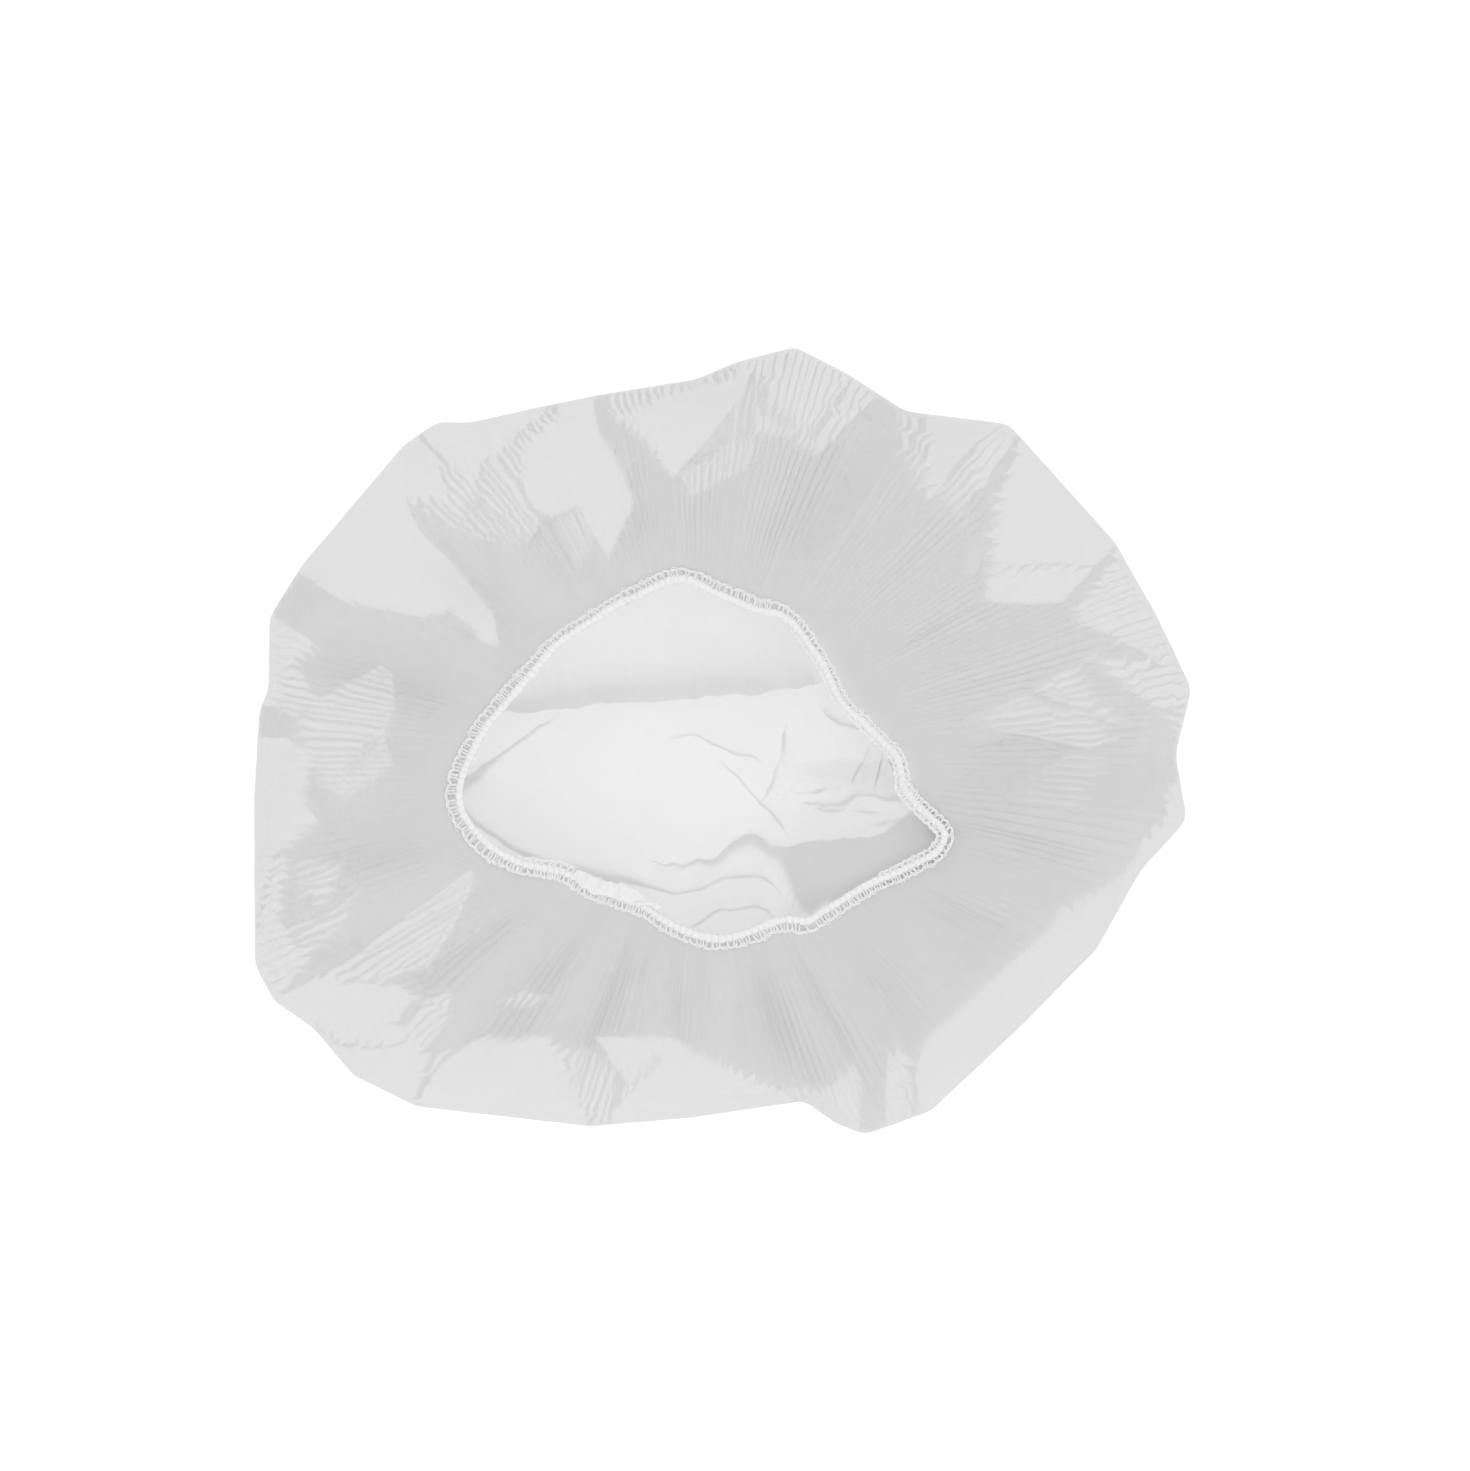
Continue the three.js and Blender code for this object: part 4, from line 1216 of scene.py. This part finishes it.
# How wide the ladder is outside and inside the elastic, by direction around the mouth in degrees.
LADDER = [
    {"at": 0, "outer": 1.1, "inner": 1.2},
    {"at": 24, "outer": 1.0, "inner": 1.0},
    {"at": 50, "outer": 1.6, "inner": 1.0},
    {"at": 62, "outer": 2.4, "inner": 0.0},
    {"at": 104, "outer": 2.2, "inner": 0.0},
    {"at": 112, "outer": 1.6, "inner": 1.1},
    {"at": 122, "outer": 1.4, "inner": 0.0},
    {"at": 142, "outer": 1.7, "inner": 0.0},
    {"at": 154, "outer": 2.6, "inner": 0.0},
    {"at": 204, "outer": 2.8, "inner": 0.0},
    {"at": 212, "outer": 1.9, "inner": 1.9},
    {"at": 221, "outer": 1.9, "inner": 2.1},
    {"at": 225, "outer": 2.3, "inner": 0.0},
    {"at": 250, "outer": 2.2, "inner": 0.0},
    {"at": 256, "outer": 1.7, "inner": 0.0},
    {"at": 264, "outer": 1.8, "inner": 0.0},
    {"at": 272, "outer": 2.4, "inner": 0.0},
    {"at": 318, "outer": 2.5, "inner": 0.0},
    {"at": 334, "outer": 1.9, "inner": 1.4},
    {"at": 350, "outer": 1.4, "inner": 1.6},
]
NO_RUNG = 0.75  # a narrower ladder isn't drawn
SECOND_RUNG = 0.75  # share of the stitches with a second, thinner rung
LOOP_SHARE = 0.45  # share of the stitches with a slack loop
LOOP_THREAD = 0.2  # radius
CHAIN_UP = 0.3  # above the cloth
CHAIN_STEPS = 6  # points a stitch
RUNG_DROP = 0.8  # from the elastic down to the chain
SCALLOP = 0.38  # how far the chain bulges out between two rungs


def ladder_width(along, side):
    ats = [row["at"] for row in LADDER]
    return np.interp(np.degrees(turn_at(along)), ats, [row[side] for row in LADDER], period=360)


class Ladder:
    """The stitches on one side of the elastic: where each starts, how far it reaches and how it slants."""

    def __init__(self, side, foot, direction, seed):
        self.foot = foot
        self.direction = direction
        self.dice = np.random.default_rng(seed)
        self.starts = (np.arange(STITCHES) + self.dice.uniform(-0.2, 0.2, STITCHES)) * PITCH
        self.widths = ladder_width(self.starts, side) * (1 + self.dice.normal(0, 0.1, STITCHES))
        self.slants = self.dice.normal(0.2, 0.3, STITCHES)
        self.threads = Bundle()
        self.rungs()
        self.chain()
        self.loops()

    def rungs(self):
        """Threads from the elastic over the cloth, each knotted round the chain at its outer end."""
        way = np.linspace(0, 1, 7)
        bow = np.sin(math.pi * way)
        up = RUNG_DROP * (1 - way) ** 2 + CHAIN_UP + 0.15 * bow
        knotted = THREAD * (1 + 0.35 * way ** 6)
        for start, width, slant in zip(self.starts, self.widths, self.slants):
            if width < NO_RUNG:
                continue
            along = start + slant * way + 0.08 * bow
            out = self.foot + self.direction * (width * way)
            self.threads.sewn(along, out, up, knotted)
            if self.dice.random() < SECOND_RUNG:
                lean = self.dice.uniform(0.3, 0.6) * PITCH
                self.threads.sewn(along + lean, out, up, self.dice.uniform(0.6, 0.9) * THREAD)

    def chain_runs(self):
        """The chain's places (along, out, up), in one run for each stretch that has rungs."""
        runs = [[]]
        for i in range(STITCHES):
            follow = (i + 1) % STITCHES
            if min(self.widths[i], self.widths[follow]) < NO_RUNG:
                runs.append([])
                continue
            gap = (self.starts[follow] - self.starts[i]) % MOUTH_LENGTH + self.slants[follow] - self.slants[i]
            for t in np.arange(CHAIN_STEPS) / CHAIN_STEPS:
                swell = math.sin(math.pi * t)
                scallop = SCALLOP * swell * (1 + 0.4 * self.dice.normal() * swell)
                width = self.widths[i] * (1 - t) + self.widths[follow] * t
                out = self.foot + self.direction * (width + scallop)
                up = CHAIN_UP - 0.02 + 0.1 * math.sin(TURN * t)
                runs[-1].append((self.starts[i] + self.slants[i] + gap * t, out, up))
        return [np.array(run).T for run in runs if run]

    def chain(self):
        """The scalloped chain and the second thread that sways just inside it."""
        for along, out, up in self.chain_runs():
            self.threads.sewn(along, out, up, CHAIN_THREAD, 6)
            inside = self.direction * (0.55 + 0.22 * np.sin(TURN * along / PITCH))
            self.threads.sewn(along, out - inside, up + 0.15, 0.7 * CHAIN_THREAD)

    def loops(self):
        """Slack loops that stand out past the chain here and there."""
        way = np.linspace(0, math.pi, 9)
        for start, width in zip(self.starts, self.widths):
            if width < NO_RUNG or self.dice.random() > LOOP_SHARE:
                continue
            reach = self.dice.uniform(0.4, 1.0)
            along = start + PITCH * (0.5 - 0.42 * np.cos(way)) + 0.3 * self.dice.normal() * np.sin(way)
            out = self.foot + self.direction * (width + 0.1 + reach * np.sin(way))
            self.threads.sewn(along, out, CHAIN_UP + 0.2 * np.sin(way), LOOP_THREAD)


thread_white = thread_finish()
OUTER_FOOT, INNER_FOOT = 2.3, 0.6  # where the rungs of each side start, out from the mouth's edge
outer_ladder = Ladder("outer", OUTER_FOOT, 1, 61).threads.make("overlock_ladder", thread_white)
inner_ladder = Ladder("inner", INNER_FOOT, -1, 62).threads.make("overlock_roll", thread_white)
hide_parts("overlock_seam")

# %% Wraps over the elastic
WRAP_THREAD = 0.22  # radius


def elastic_wraps():
    """The looper thread crosses the elastic slantwise at each stitch."""
    threads = Bundle()
    dice = np.random.default_rng(63)
    way = np.linspace(0, math.pi, 9)
    for i in range(STITCHES):
        start = (i + dice.uniform(-0.1, 0.1)) * PITCH
        along = start + PITCH * 0.45 * way / math.pi
        out = ELASTIC_WIDTH / 2 - (ELASTIC_WIDTH / 2 + 0.05) * np.cos(way)
        up = ELASTIC_FOOT + 0.1 + (ELASTIC_THICK - 0.05) * np.sin(way) ** 0.7
        threads.sewn(along, out, up, WRAP_THREAD)
    return threads.make("overlock_wraps", thread_white)


wraps = elastic_wraps()
for piece in (outer_ladder, inner_ladder, wraps):
    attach(piece, BODY)

# %% [markdown]
# ## The lapped joint
#
# The two ends of the elastic lap over each other and are sewn through many times, back and forth. The joint
# is the cap's thickest and whitest place: a lumpy pad under a tangle of thread, with a cut end that hangs
# out. It could be two crossing cords, but the thread hides them, so one pad with lumps gives the same look.

# %% Joint
JOINT_FROM, JOINT_TO = 222.0, 250.0  # degrees around the mouth
JOINT_WIDTH = 6.6
JOINT_THICK = 1.2
JOINT_FOOT = 0.8
JOINT_OUT = -0.2  # its middle, out from the mouth's edge
JOINT_THREADS = 46
JOINT_THREAD = 0.2  # radius


def joint_shape(share):
    """Width and thickness of the pad along the joint."""
    full = np.clip(np.sin(math.pi * np.clip(share, 0.02, 0.98)), 0, 1) ** 0.45
    waver = 1 + 0.2 * np.cos(TURN * share) + 0.07 * np.sin(23 * share) + 0.05 * np.sin(41 * share)
    return JOINT_WIDTH * full * waver, JOINT_THICK * full * (2 - waver)


def joint_middle(share):
    """The pad's middle, out from the mouth's edge: it snakes a little."""
    return JOINT_OUT + 0.4 * np.sin(7 * share)


def lapped_joint():
    """The lumpy pad, then the threads that are sewn across it."""
    pad = Bundle()
    steps, sides = 90, 16
    share = np.linspace(0, 1, steps)
    start, end = along_at([JOINT_FROM, JOINT_TO])
    along = start + (end - start) * share
    width, thick = joint_shape(share)
    angle = TURN * np.arange(sides) / sides
    lump = 1 + 0.17 * smooth_noise(along[:, None] / 1.7, angle[None, :] * 1.3, 1, 71)
    out = joint_middle(share)[:, None] + width[:, None] / 2 * np.cos(angle) * lump
    up = JOINT_FOOT + thick[:, None] / 2 * (1 + np.sin(angle) * lump)
    pad.rings(seam_place(np.repeat(along[:, None], sides, 1), out, up))
    dice = np.random.default_rng(72)
    way = np.linspace(0, math.pi, 11)
    for place in np.linspace(0.05, 0.95, JOINT_THREADS):
        share = np.clip(place + dice.uniform(-0.012, 0.012), 0, 1)
        width, thick = joint_shape(share)
        lean = dice.normal(0, 0.8)
        edge = -np.cos(way) * (width / 2 + dice.uniform(-0.3, 0.35))
        rise = JOINT_FOOT - 0.2 + (thick + 0.15) * np.sin(way) ** 0.6
        along = start + (end - start) * share + lean * way / math.pi
        pad.sewn(along, joint_middle(share) + edge, rise, JOINT_THREAD)
    return pad


TAIL_FROM = 246.5  # degrees around the mouth
TAIL_LENGTH = 8.2
FLUFF_FROM = 7.5  # along the tail
FIBRES = 7
FIBRE = 0.12  # radius


def cut_end(pad):
    """The tail of elastic beyond the joint: a short curl that ends in a fluffy tip over the mouth."""
    start = along_at(TAIL_FROM)
    way = np.linspace(0, 1, 22)
    along = start + TAIL_LENGTH * way
    out = 1.3 - 2.9 * np.sin(1.25 * way) + 0.5 * np.sin(7 * way)
    up = 1.6 - 0.4 * way + 0.2 * np.sin(9 * way)
    radius = 0.45 + 0.25 * np.sin(11 * way) ** 2
    radius[-6:] *= [1.7, 2.4, 2.9, 2.8, 2.1, 0.7]  # the frayed tip
    pad.sewn(along, out, up, radius, 8)
    dice = np.random.default_rng(73)
    way = np.linspace(0, 1, 9)
    for _ in range(FIBRES):
        bend = dice.uniform(-1, 1, 3)
        along = start + FLUFF_FROM + (1.8 + bend[0]) * way
        out = -1.2 + 1.2 * bend[1] * way ** 2
        pad.sewn(along, out, 1.4 + 0.5 * bend[2] * way, FIBRE)


joint_bundle = lapped_joint()
cut_end(joint_bundle)
joint = joint_bundle.make("lapped_joint", elastic_white)
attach(joint, BODY)
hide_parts("elastic_splice")

# %% [markdown]
# ## The last check
# Cloth may stand a little proud of the solids that carry it, but the cap must keep its real size. The solids'
# box is printed. Both boxes
# are written down, so that they can be compared after each change.

# %% Print the solids' box
print("CAD box", [round(v / MM, 1) for v in (*cad_low, *cad_high)])
